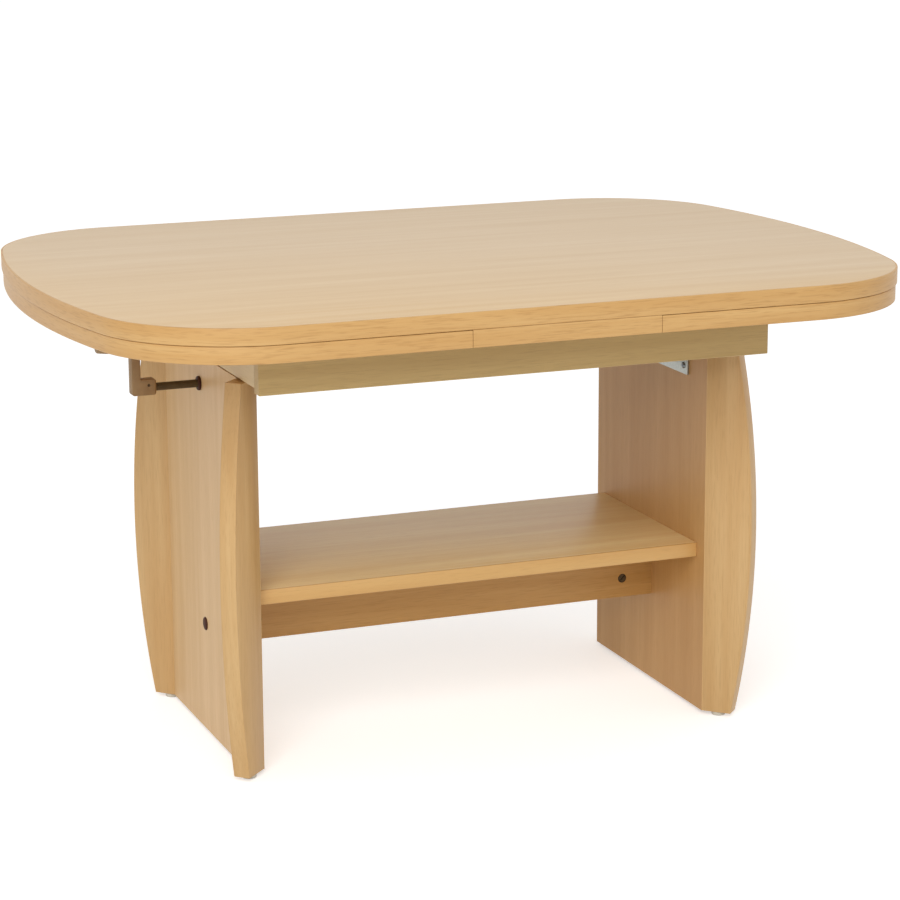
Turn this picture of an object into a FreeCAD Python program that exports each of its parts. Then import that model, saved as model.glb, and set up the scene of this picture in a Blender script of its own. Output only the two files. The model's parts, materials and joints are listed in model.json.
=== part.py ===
import FreeCAD, Part
import math
import os

# A crank-lifted coffee table with two draw leaves. Millimetres, X along the length, Y to the rear, Z up.
# The origin is on the floor, under the middle of the top.

Vector = FreeCAD.Vector
AXIS_X = Vector(1, 0, 0)
AXIS_Y = Vector(0, 1, 0)
AXIS_Z = Vector(0, 0, 1)
BOTH = (-1, 1)

# Top, leaves and centre board
top_length = 1070.0
top_width = 790.0
table_height = 600.0
top_thickness = 20.5
leaf_thickness = 20.5
leaf_gap = 0.5
corner_radius = 180.0
end_radius = 1200.0
centre_board_width = 236.0
centre_board_shift = 6.5
seam_gap = 0.6
leaf_setback = 2.0
board_easing = 1.2
leaf_travel = 390.0

# Frame under the top
frame_overhang = 8.0
frame_width = 544.0
frame_height = 62.5
apron_thickness = 19.0
end_board_recess = 5.0
end_board_rise = 3.0
corner_block_leg = 24.0
corner_block_margin = 7.25
corner_screw_inset = 7.2
corner_screw_spread = 25.0
top_screw_edge = 48.0
top_screw_side = 40.0
centre_screw_edge = 37.0

# Leaf runners
runner_width = 20.0
runner_height = 30.0
runner_gap = 4.0
runner_clearance = 12.0
runner_end_gap = 12.0
runner_leaf_inset = 95.0
runner_screw_count = 3
runner_screw_edge = 20.0
runner_screw_seat = 13.5
runner_screw_bite = 11.5
notch_gap = 0.5
stop_radius = 4.0
stop_reach = 9.0
stop_depth = 12.0
stop_gap = 0.3

# Legs
leg_clear_span = 596.0
panel_thickness = 22.0
panel_depth = 332.0
leg_gap = 0.5
glide_height = 5.5
glide_inset = 2.0
glide_nail_radius = 1.5
glide_nail_length = 12.0
stile_thickness = 22.0
stile_end_width = 38.5
stile_bow = 24.0
stile_angle = 45.0
stile_dowel_count = 3

# Shelf and stretcher
shelf_depth = 290.0
shelf_thickness = 18.5
shelf_height = 226.5
shelf_dowel_y = 100.0
stretcher_dowel_drop = 21.5
stretcher_thickness = 19.0
stretcher_height = 86.0
bolt_rise = 26.0
bolt_radius = 3.0
bolt_head_radius = 7.0
bolt_head_height = 4.0
bolt_recess = 5.0
barrel_nut_radius = 6.0
barrel_nut_setback = 43.0
barrel_nut_recess = 0.3
driver_slot_width = 1.2
driver_slot_depth = 1.2
bolt_run = 10.0
cap_lip = 1.5
cap_height = 2.5
cap_easing = 1.5
dowel_radius = 4.0
dowel_depth = 14.0

# Lift: brackets, scissor arms and their rods
lift_travel = 170.0
crank_drop = 37.0
pivot_rise = 60.0
pivot_setback = 36.0
slide_setback = 23.3
arm_rim = 4.5
arm_thickness = 4.0
arm_gap = 2.0
arm_rod_radius = 5.0
arm_clearance = 20.0
sheet = 3.0
ear_gap = 2.0
ear_rim = 3.9
pivot_ear_rim = 3.5
bracket_width = 230.0
bracket_top_margin = 3.5
bracket_drop = 17.0
top_bracket_width = 200.0
top_bracket_margin = 4.25
cradle_gap = 15.0
cradle_overrun = 14.0
slot_play = 1.6
roller_radius = 7.0
clip_radius = 8.0
clip_thickness = 1.2
clip_gap = 0.2
nut_length = 20.0
nut_side = 26.0
bracket_screw_inset = 10.0
bracket_screw_edge = 11.0

# Crank
rod_radius = 5.0
journal_radius = 4.0
crank_reach = 57.0
hub_floor = 6.0
hub_roof = 6.0
hub_sole = 3.5
hub_cheek = 3.0
crank_heel = 3.0
crank_arm_thickness = 11.0
crank_radius = 58.0
rod_depth_in_hub = 14.0
set_screw_radius = 1.8
set_screw_rise = 4.0
grip_length = 42.0
grip_radius = 12.5
grip_waist = 10.5
grip_axle_radius = 3.0
grip_axle_head = 5.5
grip_gap = 0.4
bush_wall = 2.0
bush_lip = 1.9
bush_easing = 1.0
bush_flange_thickness = 3.5
rod_room = 1.0

# Fits and fasteners
fit = 0.1
hole_fit = 0.05
slide_fit = 0.3
near = 1e-6
screw_radius = 2.0
screw_length = 16.0
screw_head_radius = 4.0
screw_head_height = 2.2
long_screw_length = 42.0
top_screw_length = 34.0
head_room = 0.4

# Levels and planes that follow from the sizes above
top_under = table_height - top_thickness
leaf_top = top_under - leaf_gap
leaf_under = leaf_top - leaf_thickness
frame_bottom = leaf_under - frame_height
leg_top = frame_bottom - leg_gap
panel_inner = leg_clear_span / 2
panel_outer = panel_inner + panel_thickness
panel_edge = panel_depth / 2
frame_end = panel_outer + frame_overhang
frame_length = 2 * frame_end
frame_inner_end = frame_end - apron_thickness
frame_side = frame_width / 2
frame_inner_side = frame_side - apron_thickness
centre_half = centre_board_width / 2
inner_runner_y = top_bracket_width / 2 + runner_clearance + runner_width / 2
glide_radius = stile_thickness / 2 - glide_inset
corner_block_height = frame_height - 2 * corner_block_margin
shelf_under = shelf_height - shelf_thickness
stretcher_bottom = shelf_under - stretcher_height
bolt_height = stretcher_bottom + bolt_rise
barrel_nut_x = panel_inner - barrel_nut_setback
stretcher_dowel_z = shelf_under - stretcher_dowel_drop
cap_radius = bolt_head_radius + cap_lip

# Scissor geometry: the right pivots are fixed, the left ones slide along X
spindle_z = frame_bottom - crank_drop
upper_z = spindle_z + pivot_rise
pivot_x = panel_inner - pivot_setback
slide_x = slide_setback - panel_inner
arm_span = pivot_x - slide_x
arm_length = math.hypot(arm_span, pivot_rise)
rest_angle = math.asin(pivot_rise / arm_length)
full_angle = math.asin((pivot_rise + lift_travel) / arm_length)
slide_end_x = pivot_x - arm_length * math.cos(full_angle)
centre_x = (pivot_x + slide_x) / 2
centre_z = (spindle_z + upper_z) / 2
arm_height = 2 * (arm_rod_radius + arm_rim)
ear_height = 2 * (roller_radius + slot_play + ear_rim)
cradle_half_width = nut_side / 2 + cradle_gap
inner_arm_y = cradle_half_width + sheet + arm_clearance
outer_arm_y = inner_arm_y + arm_thickness + arm_gap
ear_y = outer_arm_y + arm_thickness + ear_gap
rod_end_y = ear_y + sheet + clip_gap + clip_thickness + ear_gap
bracket_bottom = spindle_z - bracket_drop
bracket_height = leg_top - bracket_top_margin - bracket_bottom
top_bracket_bottom = frame_bottom + top_bracket_margin
top_bracket_height = frame_height - 2 * top_bracket_margin
cradle_end = slide_end_x + nut_length / 2 + cradle_overrun

# Crank planes, from the panel outwards
hub_length = rod_depth_in_hub + hub_floor
hub_height = 2 * rod_radius + hub_roof + hub_sole
crank_width = 2 * (rod_radius + hub_cheek)
bush_flange = rod_radius + fit + bush_wall + bush_lip
hub_inner_x = -panel_outer - crank_reach
hub_outer_x = hub_inner_x - hub_length
arm_outer_x = hub_outer_x - crank_arm_thickness
rod_tip_x = hub_inner_x - rod_depth_in_hub
grip_z = spindle_z + crank_radius

parts = {}


def box(x0, x1, y0, y1, z0, z1):
    """A block between two values on each axis."""
    return Part.makeBox(x1 - x0, y1 - y0, z1 - z0, Vector(x0, y0, z0))


def bar(radius, start, end):
    """A round bar from one point to another."""
    line = end - start
    return Part.makeCylinder(radius, line.Length, start, line)


def along_y(radius, x, z, y0, y1):
    """A round bar that lies along Y."""
    return bar(radius, Vector(x, y0, z), Vector(x, y1, z))


def along_x(radius, y, z, x0, x1):
    """A round bar that lies along X."""
    return bar(radius, Vector(x0, y, z), Vector(x1, y, z))


def along_z(radius, x, y, z0, z1):
    """A round bar that stands along Z."""
    return bar(radius, Vector(x, y, z0), Vector(x, y, z1))


def screw(under_head, direction, length, radius=screw_radius):
    """A pan-head screw whose head seats at under_head, with its shank along direction."""
    way = Vector(direction).normalize()
    shank = Part.makeCylinder(radius, length, under_head, way)
    head = Part.makeCylinder(screw_head_radius, screw_head_height, under_head, -way)
    return shank.fuse(head).removeSplitter()


def screw_hole(under_head, direction, length, radius=screw_radius):
    """The hole that takes a screw's shank."""
    way = Vector(direction).normalize()
    return Part.makeCylinder(radius + hole_fit, length + head_room, under_head, way)


def mirrored(shape, normal):
    """A copy on the other side of the plane through the origin with this normal."""
    return shape.mirror(Vector(0, 0, 0), normal)


def cut_all(shape, tools):
    """Cut a list of tools out of a shape."""
    return shape.cut(tools).removeSplitter() if tools else shape


def eased(shape, radius, wanted):
    """Round the edges that the test picks."""
    edges = [edge for edge in shape.Edges if wanted(edge)]
    return shape.makeFillet(radius, edges)


def lies_at(edge, axis, value):
    """Whether an edge lies in the plane where one coordinate has this value."""
    ends = [getattr(vertex, axis) for vertex in edge.Vertexes]
    return all(abs(end - value) < near for end in ends)


def group(shapes):
    """Separate solids that share one node."""
    return Part.makeCompound(shapes)


# Outline of the top: straight long sides, large corners and slightly bowed ends


def outline_wire(length, width):
    """One closed loop of lines and arcs, centred on the origin at Z = 0."""
    half_length = length / 2
    half_width = width / 2
    bow_centre = half_length - end_radius
    corner_y = half_width - corner_radius
    reach = end_radius - corner_radius
    corner_x = bow_centre + math.sqrt(reach ** 2 - corner_y ** 2)
    turn = math.atan2(corner_y, corner_x - bow_centre)
    tangent = Vector(bow_centre + end_radius * math.cos(turn), end_radius * math.sin(turn), 0)
    halfway = (turn + math.pi / 2) / 2
    corner_mid = Vector(
        corner_x + corner_radius * math.cos(halfway), corner_y + corner_radius * math.sin(halfway), 0)
    straight = Vector(corner_x, half_width, 0)
    end_tip = Vector(half_length, 0, 0)

    def at(point, side_x, side_y):
        return Vector(point.x * side_x, point.y * side_y, 0)

    edges = []
    for side in BOTH:
        edges.append(Part.Arc(at(tangent, side, -1), at(end_tip, side, 1), at(tangent, side, 1)).toShape())
        edges.append(Part.LineSegment(at(straight, -1, side), at(straight, 1, side)).toShape())
        for end in BOTH:
            corner = (at(tangent, end, side), at(corner_mid, end, side), at(straight, end, side))
            edges.append(Part.Arc(*corner).toShape())
    return Part.Wire(Part.__sortEdges__(edges))


def outline_board(length, width, z0, thickness):
    """A board with the outline of the top."""
    board = Part.Face(outline_wire(length, width)).extrude(Vector(0, 0, thickness))
    board.translate(Vector(0, 0, z0))
    return board


# Places of the fasteners, shared by each fastener and its holes


def top_screw_points():
    """Screws up through the centre board into the top, seats on the board's underside."""
    spread_x = centre_half - top_screw_edge
    spread_y = frame_inner_side - top_screw_side
    places = [(spread_x * x, spread_y * y) for x in BOTH for y in (-1, 0, 1)]
    return [Vector(x, y, leaf_under) for x, y in places]


def centre_screw_points():
    """Screws down through the centre board into the apron boards, heads sunk in the board."""
    spread_x = centre_half - centre_screw_edge
    apron_y = frame_side - apron_thickness / 2
    seat = top_under - screw_head_height - head_room
    return [Vector(spread_x * x, apron_y * y, seat) for x in BOTH for y in BOTH]


def bracket_screw_points(plane_x, width, low, height):
    """Four seats at the corners of a bracket plate, on the plane X = plane_x."""
    y = width / 2 - bracket_screw_inset
    rows = (low + bracket_screw_edge, low + height - bracket_screw_edge)
    return [Vector(plane_x, y * side, z) for side in BOTH for z in rows]


def base_plate_seats(side):
    return bracket_screw_points(side * (panel_inner - sheet), bracket_width, bracket_bottom, bracket_height)


def top_plate_seats(side):
    plane = side * (frame_inner_end - sheet)
    return bracket_screw_points(plane, top_bracket_width, top_bracket_bottom, top_bracket_height)


def runner_y(leaf_side, side):
    """Middle of a runner: the right leaf's pair runs inside the left leaf's pair."""
    offset = inner_runner_y if leaf_side > 0 else inner_runner_y + runner_width + runner_gap
    return offset * side


# Legs


def stile_point(along, through):
    """A point in the plan of the right front stile: along its width, through its thickness."""
    turn = math.radians(stile_angle)
    out = Vector(math.sin(turn), -math.cos(turn), 0)
    back = Vector(math.cos(turn), math.sin(turn), 0)
    return Vector(panel_inner, -panel_edge, 0) + out * along + back * through


def stile_blank():
    """The right front stile before its edges are eased: straight inner edge, outer edge bowed by an arc."""
    low = Vector(0, 0, glide_height)
    high = Vector(0, 0, leg_top)
    middle = Vector(0, 0, (glide_height + leg_top) / 2)
    inner = stile_point(0, 0)
    outer = stile_point(stile_end_width, 0)
    belly = stile_point(stile_end_width + stile_bow, 0)
    edges = [
        Part.LineSegment(inner + high, inner + low).toShape(),
        Part.LineSegment(inner + low, outer + low).toShape(),
        Part.Arc(outer + low, belly + middle, outer + high).toShape(),
        Part.LineSegment(outer + high, inner + high).toShape(),
    ]
    face = Part.Face(Part.Wire(edges))
    return face.extrude(stile_point(0, stile_thickness) - inner)


def stile_dowel_heights():
    pitch = (leg_top - glide_height) / stile_dowel_count
    return [glide_height + pitch * (index + 0.5) for index in range(stile_dowel_count)]


def stile_dowel(z, slack):
    """A dowel along Y between the right panel's front end and its stile."""
    x = panel_inner + panel_thickness / 2
    seat = panel_thickness / 2 * math.tan(math.radians(stile_angle))
    joint = seat - panel_edge
    return along_y(dowel_radius + slack, x, z, joint - dowel_depth - slack, joint + dowel_depth + slack)


def glide_place():
    return stile_point(stile_end_width / 2, stile_thickness / 2)


def glide_nail(slack):
    place = glide_place()
    end = glide_height + glide_nail_length + slack
    return along_z(glide_nail_radius + slack, place.x, place.y, glide_height / 2, end)


def front_stile():
    """The right front stile, with its dowel and glide holes."""
    board = stile_blank()
    inner = stile_point(0, 0)
    back = stile_point(0, stile_thickness)

    def outside(edge):
        ends = [vertex.Point for vertex in edge.Vertexes]
        at_inner = [abs(end.x - inner.x) < near or abs(end.x - back.x) < near for end in ends]
        return not all(at_inner)

    board = eased(board, board_easing, outside)
    holes = [stile_dowel(z, fit) for z in stile_dowel_heights()]
    holes.append(glide_nail(fit))
    return cut_all(board, holes)


def leg_panel():
    """The right panel, cut to the stiles' inner ends."""
    board = box(panel_inner, panel_outer, -panel_edge, panel_edge, glide_height, leg_top)
    cutters = [stile_blank()]
    cutters.extend(stile_dowel(z, fit) for z in stile_dowel_heights())
    cutters.extend([mirrored(cutter, AXIS_Y) for cutter in cutters])
    for side in BOTH:
        y = shelf_dowel_y * side
        z = shelf_height - shelf_thickness / 2
        cutters.append(end_dowel(y, z, fit))
    cutters.append(end_dowel(0, stretcher_dowel_z, fit))
    cutters.append(along_x(bolt_radius + fit, 0, bolt_height, panel_inner, panel_outer))
    recess = along_x(bolt_head_radius + fit, 0, bolt_height, panel_outer - bolt_recess, panel_outer)
    cutters.append(recess)
    cutters.extend(screw_hole(seat, AXIS_X, screw_length) for seat in base_plate_seats(1))
    return cut_all(board, cutters)


def make_legs():
    panel = leg_panel()
    bush_hole = along_x(rod_radius + fit + bush_wall + fit, 0, spindle_z, -panel_outer, -panel_inner)
    parts["right_leg_panel"] = panel
    parts["left_leg_panel"] = mirrored(panel, AXIS_X).cut(bush_hole)
    stile = front_stile()
    rear = mirrored(stile, AXIS_Y)
    parts["right_front_stile"] = stile
    parts["right_rear_stile"] = rear
    parts["left_front_stile"] = mirrored(stile, AXIS_X)
    parts["left_rear_stile"] = mirrored(rear, AXIS_X)
    dowels = [stile_dowel(z, 0) for z in stile_dowel_heights()]
    parts["stile_dowels"] = group(in_four_corners(dowels))
    place = glide_place()
    foot = along_z(glide_radius, place.x, place.y, 0, glide_height)
    foot = eased(foot, board_easing, lambda edge: lies_at(edge, "Z", 0))
    foot = foot.fuse(glide_nail(0)).removeSplitter()
    parts["foot_glides"] = group(in_four_corners([foot]))


def in_four_corners(shapes):
    """Shapes of the right front corner, repeated at all four corners."""
    front = shapes + [mirrored(shape, AXIS_X) for shape in shapes]
    return front + [mirrored(shape, AXIS_Y) for shape in front]


def at_both_ends(shapes):
    """Shapes of the right end, repeated at the left end."""
    return shapes + [mirrored(shape, AXIS_X) for shape in shapes]


# Shelf and stretcher


def end_dowel(y, z, slack):
    """A dowel along X across the right panel's inner face."""
    reach = dowel_depth + slack
    return along_x(dowel_radius + slack, y, z, panel_inner - reach, panel_inner + reach)


def make_shelf():
    shelf_z = shelf_height - shelf_thickness / 2
    side = shelf_depth / 2
    board = box(-panel_inner, panel_inner, -side, side, shelf_under, shelf_height)
    board = eased(board, board_easing, lambda edge: lies_at(edge, "Y", -side) or lies_at(edge, "Y", side))
    shelf_places = [(-shelf_dowel_y, shelf_z), (shelf_dowel_y, shelf_z)]
    parts["shelf_board"] = cut_all(board, at_both_ends([end_dowel(y, z, fit) for y, z in shelf_places]))
    rail_side = stretcher_thickness / 2
    rail = box(-panel_inner, panel_inner, -rail_side, rail_side, stretcher_bottom, shelf_under)
    rail = eased(rail, board_easing, lambda edge: abs(edge.Length - leg_clear_span) < near
                 and lies_at(edge, "Z", stretcher_bottom))
    bolt_way = along_x(bolt_radius + fit, 0, bolt_height, barrel_nut_x - bolt_run, panel_inner)
    nut_way = along_y(barrel_nut_radius + fit, barrel_nut_x, bolt_height, -rail_side, rail_side)
    holes = at_both_ends([end_dowel(0, stretcher_dowel_z, fit), bolt_way, nut_way])
    parts["shelf_stretcher"] = cut_all(rail, holes)
    places = shelf_places + [(0, stretcher_dowel_z)]
    parts["shelf_dowels"] = group(at_both_ends([end_dowel(y, z, 0) for y, z in places]))


def make_stretcher_bolts():
    half = stretcher_thickness / 2 - barrel_nut_recess
    nut = along_y(barrel_nut_radius, barrel_nut_x, bolt_height, -half, half)
    nut = nut.cut(along_x(bolt_radius + fit, 0, bolt_height, 0, panel_outer))
    slot_half = driver_slot_width / 2
    driver_slot = box(barrel_nut_x - barrel_nut_radius, barrel_nut_x + barrel_nut_radius,
                      -half, driver_slot_depth - half, bolt_height - slot_half, bolt_height + slot_half)
    parts["barrel_nuts"] = group(at_both_ends([nut.cut(driver_slot)]))
    head_low = panel_outer - bolt_recess
    shank = along_x(bolt_radius, 0, bolt_height, barrel_nut_x - barrel_nut_radius, head_low)
    head = along_x(bolt_head_radius, 0, bolt_height, head_low, head_low + bolt_head_height)
    parts["stretcher_bolts"] = group(at_both_ends([shank.fuse(head).removeSplitter()]))
    cap = along_x(cap_radius, 0, bolt_height, panel_outer, panel_outer + cap_height)
    cap = eased(cap, cap_easing, lambda edge: lies_at(edge, "X", panel_outer + cap_height))
    parts["bolt_cover_caps"] = group(at_both_ends([cap]))


# Top, frame and leaves


def make_top():
    board = outline_board(top_length, top_width, top_under, top_thickness)
    faces = (table_height, top_under)
    board = eased(board, board_easing, lambda edge: any(lies_at(edge, "Z", face) for face in faces))
    holes = [screw_hole(point, AXIS_Z, top_screw_length) for point in top_screw_points()]
    parts["table_top"] = cut_all(board, holes)
    parts["top_screws"] = group([screw(point, AXIS_Z, top_screw_length) for point in top_screw_points()])


def slice_of_leaves(x0, x1, thickness):
    """The part of the leaf layer between two planes across X."""
    layer = outline_board(top_length - 2 * leaf_setback, top_width, leaf_under, thickness)
    return layer.common(box(x0, x1, -top_width, top_width, leaf_under, top_under))


def make_centre_board():
    """The fixed board between the leaves, set a little to the right as the photo shows."""
    left = centre_board_shift - centre_half
    right = centre_board_shift + centre_half
    board = slice_of_leaves(left, right, leaf_thickness + leaf_gap)
    holes = [screw_hole(point, AXIS_Z, top_screw_length) for point in top_screw_points()]
    down = -AXIS_Z
    for seat in centre_screw_points():
        holes.append(screw_hole(seat, down, long_screw_length))
        holes.append(along_z(screw_head_radius + fit, seat.x, seat.y, seat.z, top_under))
    parts["centre_board"] = cut_all(board, holes)
    screws = [screw(seat, down, long_screw_length) for seat in centre_screw_points()]
    parts["centre_board_screws"] = group(screws)


def end_notches(side):
    """Notches in an end board for the runners of its own leaf."""
    notches = []
    half = runner_width / 2 + notch_gap
    floor = leaf_under - runner_height - notch_gap
    for row in BOTH:
        y = runner_y(side, row)
        notches.append(box(-frame_length, frame_length, y - half, y + half, floor, table_height))
    return notches


def corner_block():
    """The right front corner's glue block, a triangle in plan."""
    x = frame_inner_end
    y = -frame_inner_side
    z = frame_bottom + corner_block_margin
    points = [Vector(x, y, z), Vector(x - corner_block_leg, y, z), Vector(x, y + corner_block_leg, z)]
    face = Part.Face(Part.makePolygon(points + points[:1]))
    return face.extrude(Vector(0, 0, corner_block_height))


def corner_screws():
    """One screw into the apron and one into the end board from the right front block."""
    x = frame_inner_end - corner_screw_inset
    y = corner_screw_inset - frame_inner_side
    middle = frame_bottom + frame_height / 2
    into_apron = Vector(x, y, middle - corner_screw_spread / 2)
    into_end = Vector(x, y, middle + corner_screw_spread / 2)
    return [(into_apron, -AXIS_Y), (into_end, AXIS_X)]


def corner_tools(make):
    return [make(seat, way, screw_length) for seat, way in corner_screws()]


def head_pockets():
    """Clear room over the heads of the corner screws."""
    pockets = []
    for seat, way in corner_screws():
        pockets.append(Part.makeCylinder(screw_head_radius + fit, corner_block_leg, seat, -way))
    return pockets


def make_frame():
    corner_holes = in_four_corners(corner_tools(screw_hole))
    blocks = corner_block().cut(corner_tools(screw_hole) + head_pockets())
    parts["corner_blocks"] = group(in_four_corners([blocks]))
    parts["corner_block_screws"] = group(in_four_corners(corner_tools(screw)))
    centre_holes = [screw_hole(seat, -AXIS_Z, long_screw_length) for seat in centre_screw_points()]
    front = box(-frame_end, frame_end, -frame_side, -frame_inner_side, frame_bottom, leaf_under)
    front = eased(front, board_easing, lambda edge: lies_at(edge, "Z", frame_bottom)
                  or (lies_at(edge, "Y", -frame_side) and not lies_at(edge, "Z", leaf_under)))
    parts["apron_front"] = cut_all(front, corner_holes + centre_holes)
    parts["apron_rear"] = cut_all(mirrored(front, AXIS_Y), corner_holes + centre_holes)
    for side, name in ((-1, "left_end_board"), (1, "right_end_board")):
        x0, x1 = sorted((side * frame_inner_end, side * (frame_end - end_board_recess)))
        low = frame_bottom + end_board_rise
        board = box(x0, x1, -frame_inner_side, frame_inner_side, low, leaf_under)
        holes = [screw_hole(seat, AXIS_X * side, screw_length) for seat in top_plate_seats(side)]
        parts[name] = cut_all(board, end_notches(side) + holes + corner_holes)


def runner_span():
    """Inner and outer end of a runner of the right leaf."""
    return runner_end_gap - frame_inner_end, top_length / 2 - runner_leaf_inset


def runner_screw_seats(leaf_side, row):
    """Seats inside a runner's counterbores, under its leaf."""
    start = centre_half + runner_screw_edge
    finish = runner_span()[1] - runner_screw_edge
    pitch = (finish - start) / (runner_screw_count - 1)
    seat_z = leaf_under - runner_screw_seat
    return [Vector(leaf_side * (start + pitch * index), runner_y(leaf_side, row), seat_z)
            for index in range(runner_screw_count)]


def runner_stop(leaf_side, row, slack):
    """A peg through a runner's side that meets the end board when the leaf is fully out."""
    x = leaf_side * (frame_inner_end - leaf_travel - stop_radius - stop_gap)
    outward = row if leaf_side < 0 else -row
    side_y = runner_y(leaf_side, row) + outward * runner_width / 2
    ends = sorted((side_y - outward * (stop_depth + slack), side_y + outward * stop_reach))
    return along_y(stop_radius + slack, x, leaf_under - runner_height / 2, ends[0], ends[1])


def make_leaf(side, name):
    """A leaf with its two runners, their screws and their stops."""
    inner = centre_half + side * centre_board_shift + seam_gap
    x0, x1 = sorted((side * inner, side * top_length))
    board = slice_of_leaves(x0, x1, leaf_thickness)
    board = eased(board, board_easing, lambda edge: not lies_at(edge, "X", side * inner))
    seats = [seat for row in BOTH for seat in runner_screw_seats(side, row)]
    length = runner_screw_seat + runner_screw_bite
    parts[name] = cut_all(board, [screw_hole(seat, AXIS_Z, length) for seat in seats])
    parts[name + "_runner_screws"] = group([screw(seat, AXIS_Z, length) for seat in seats])
    parts[name + "_stops"] = group([runner_stop(side, row, 0) for row in BOTH])
    runners = []
    for row in BOTH:
        y = runner_y(side, row)
        half = runner_width / 2
        start, finish = runner_span()
        ends = sorted((side * start, side * finish))
        runner = box(ends[0], ends[1], y - half, y + half, leaf_under - runner_height, leaf_under)
        holes = [runner_stop(side, row, fit)]
        for seat in runner_screw_seats(side, row):
            holes.append(screw_hole(seat, AXIS_Z, length))
            holes.append(along_z(screw_head_radius + fit, seat.x, seat.y, leaf_under - runner_height, seat.z))
        runners.append(cut_all(runner, holes))
    parts[name + "_runners"] = group(runners)


# Lift


def rounded_ear(x_root, x_tip, y0, y1, z, half):
    """A sheet ear along X with a half-round tip, standing out from a bracket plate."""
    tip = x_tip - math.copysign(half, x_tip - x_root)
    x0, x1 = sorted((x_root, tip))
    block = box(x0, x1, y0, y1, z - half, z + half)
    return block.fuse(along_y(half, tip, z, y0, y1))


def slot(x0, x1, z, radius, y):
    """A slot along X through everything between -y and y."""
    ends = [along_y(radius, x, z, -y, y) for x in (x0, x1)]
    return box(x0, x1, -y, y, z - radius, z + radius).fuse(ends).removeSplitter()


def plate(side, x, width, low, height):
    """A bracket plate against the plane X = x, on the side towards the middle."""
    x0, x1 = sorted((side * x, side * (x - sheet)))
    return box(x0, x1, -width / 2, width / 2, low, low + height)


def two_ears(x_root, x_tip, z, y, half=ear_height / 2):
    ears = [rounded_ear(x_root, x_tip, y, y + sheet, z, half)]
    return ears + [mirrored(ear, AXIS_Y) for ear in ears]


def make_right_base_bracket():
    root = panel_inner - sheet / 2
    half = arm_rod_radius + pivot_ear_rim
    shape = plate(1, panel_inner, bracket_width, bracket_bottom, bracket_height)
    shape = shape.fuse(two_ears(root, pivot_x - half, spindle_z, ear_y, half))
    holes = [screw_hole(seat, AXIS_X, screw_length) for seat in base_plate_seats(1)]
    holes.append(along_y(arm_rod_radius + fit, pivot_x, spindle_z, -rod_end_y, rod_end_y))
    parts["right_base_bracket"] = cut_all(shape.removeSplitter(), holes)


def make_left_base_bracket():
    """The plate with a cradle for the spindle: two slotted cheeks and an end wall."""
    half = ear_height / 2
    low = spindle_z - half
    high = spindle_z + half
    shape = plate(-1, panel_inner, bracket_width, bracket_bottom, bracket_height)
    cheek = box(-panel_inner + sheet / 2, cradle_end, cradle_half_width, cradle_half_width + sheet, low, high)
    outer = cradle_half_width + sheet
    wall = box(cradle_end, cradle_end + sheet, -outer, outer, low, high)
    shape = shape.fuse([cheek, mirrored(cheek, AXIS_Y), wall]).removeSplitter()
    holes = [screw_hole(seat, -AXIS_X, screw_length) for seat in base_plate_seats(-1)]
    holes.append(along_x(rod_radius + rod_room, 0, spindle_z, -panel_inner, -panel_inner + sheet))
    holes.append(along_x(journal_radius + bush_wall + fit, 0, spindle_z, cradle_end, cradle_end + sheet))
    holes.append(slot(slide_x, slide_end_x, spindle_z, arm_rod_radius + slide_fit, outer))
    parts["left_base_bracket"] = cut_all(shape, holes)


def make_top_brackets():
    root = frame_inner_end - sheet / 2
    right = plate(1, frame_inner_end, top_bracket_width, top_bracket_bottom, top_bracket_height)
    right = right.fuse(two_ears(root, pivot_x - ear_height / 2, upper_z, ear_y)).removeSplitter()
    holes = [screw_hole(seat, AXIS_X, screw_length) for seat in top_plate_seats(1)]
    width = arm_rod_radius + slide_fit
    low = upper_z - slot_play
    high = upper_z + slot_play
    for z in (low, high):
        holes.append(along_y(width, pivot_x, z, -rod_end_y, rod_end_y))
    holes.append(box(pivot_x - width, pivot_x + width, -rod_end_y, rod_end_y, low, high))
    parts["right_top_bracket"] = cut_all(right, holes)
    left = plate(-1, frame_inner_end, top_bracket_width, top_bracket_bottom, top_bracket_height)
    tip = slide_end_x + roller_radius + slot_play + ear_height / 2
    left = left.fuse(two_ears(-root, tip, upper_z, ear_y)).removeSplitter()
    holes = [screw_hole(seat, -AXIS_X, screw_length) for seat in top_plate_seats(-1)]
    holes.append(slot(slide_x, slide_end_x, upper_z, roller_radius + slot_play, rod_end_y))
    parts["left_top_bracket"] = cut_all(left, holes)


def make_bracket_screws():
    base = [screw(seat, AXIS_X * side, screw_length) for side in BOTH for seat in base_plate_seats(side)]
    top = [screw(seat, AXIS_X * side, screw_length) for side in BOTH for seat in top_plate_seats(side)]
    parts["base_bracket_screws"] = group(base)
    parts["top_bracket_screws"] = group(top)


def scissor_arm(start, end, y):
    """A flat bar with round ends between two pivots, drilled at both and at its middle."""
    half = arm_height / 2
    line = end - start
    across = Vector(-line.z, 0, line.x).normalize() * half
    corners = [start + across, end + across, end - across, start - across]
    for corner in corners:
        corner.y = y
    blade = Part.Face(Part.makePolygon(corners + corners[:1])).extrude(Vector(0, arm_thickness, 0))
    ends = [along_y(half, point.x, point.z, y, y + arm_thickness) for point in (start, end)]
    bores = (start, (start + end) / 2, end)
    holes = [along_y(arm_rod_radius + fit, point.x, point.z, y, y + arm_thickness) for point in bores]
    return cut_all(blade.fuse(ends).removeSplitter(), holes)


def ring(outer, inner, x, z, y0, y1):
    """A flat ring round an axis along Y."""
    return along_y(outer, x, z, y0, y1).cut(along_y(inner, x, z, y0, y1))


def rod_clips(x, z):
    """A clip on each end of a rod, outside the bracket ears."""
    start = ear_y + sheet + clip_gap
    clip = ring(clip_radius, arm_rod_radius + fit, x, z, start, start + clip_thickness)
    return [clip, mirrored(clip, AXIS_Y)]


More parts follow.
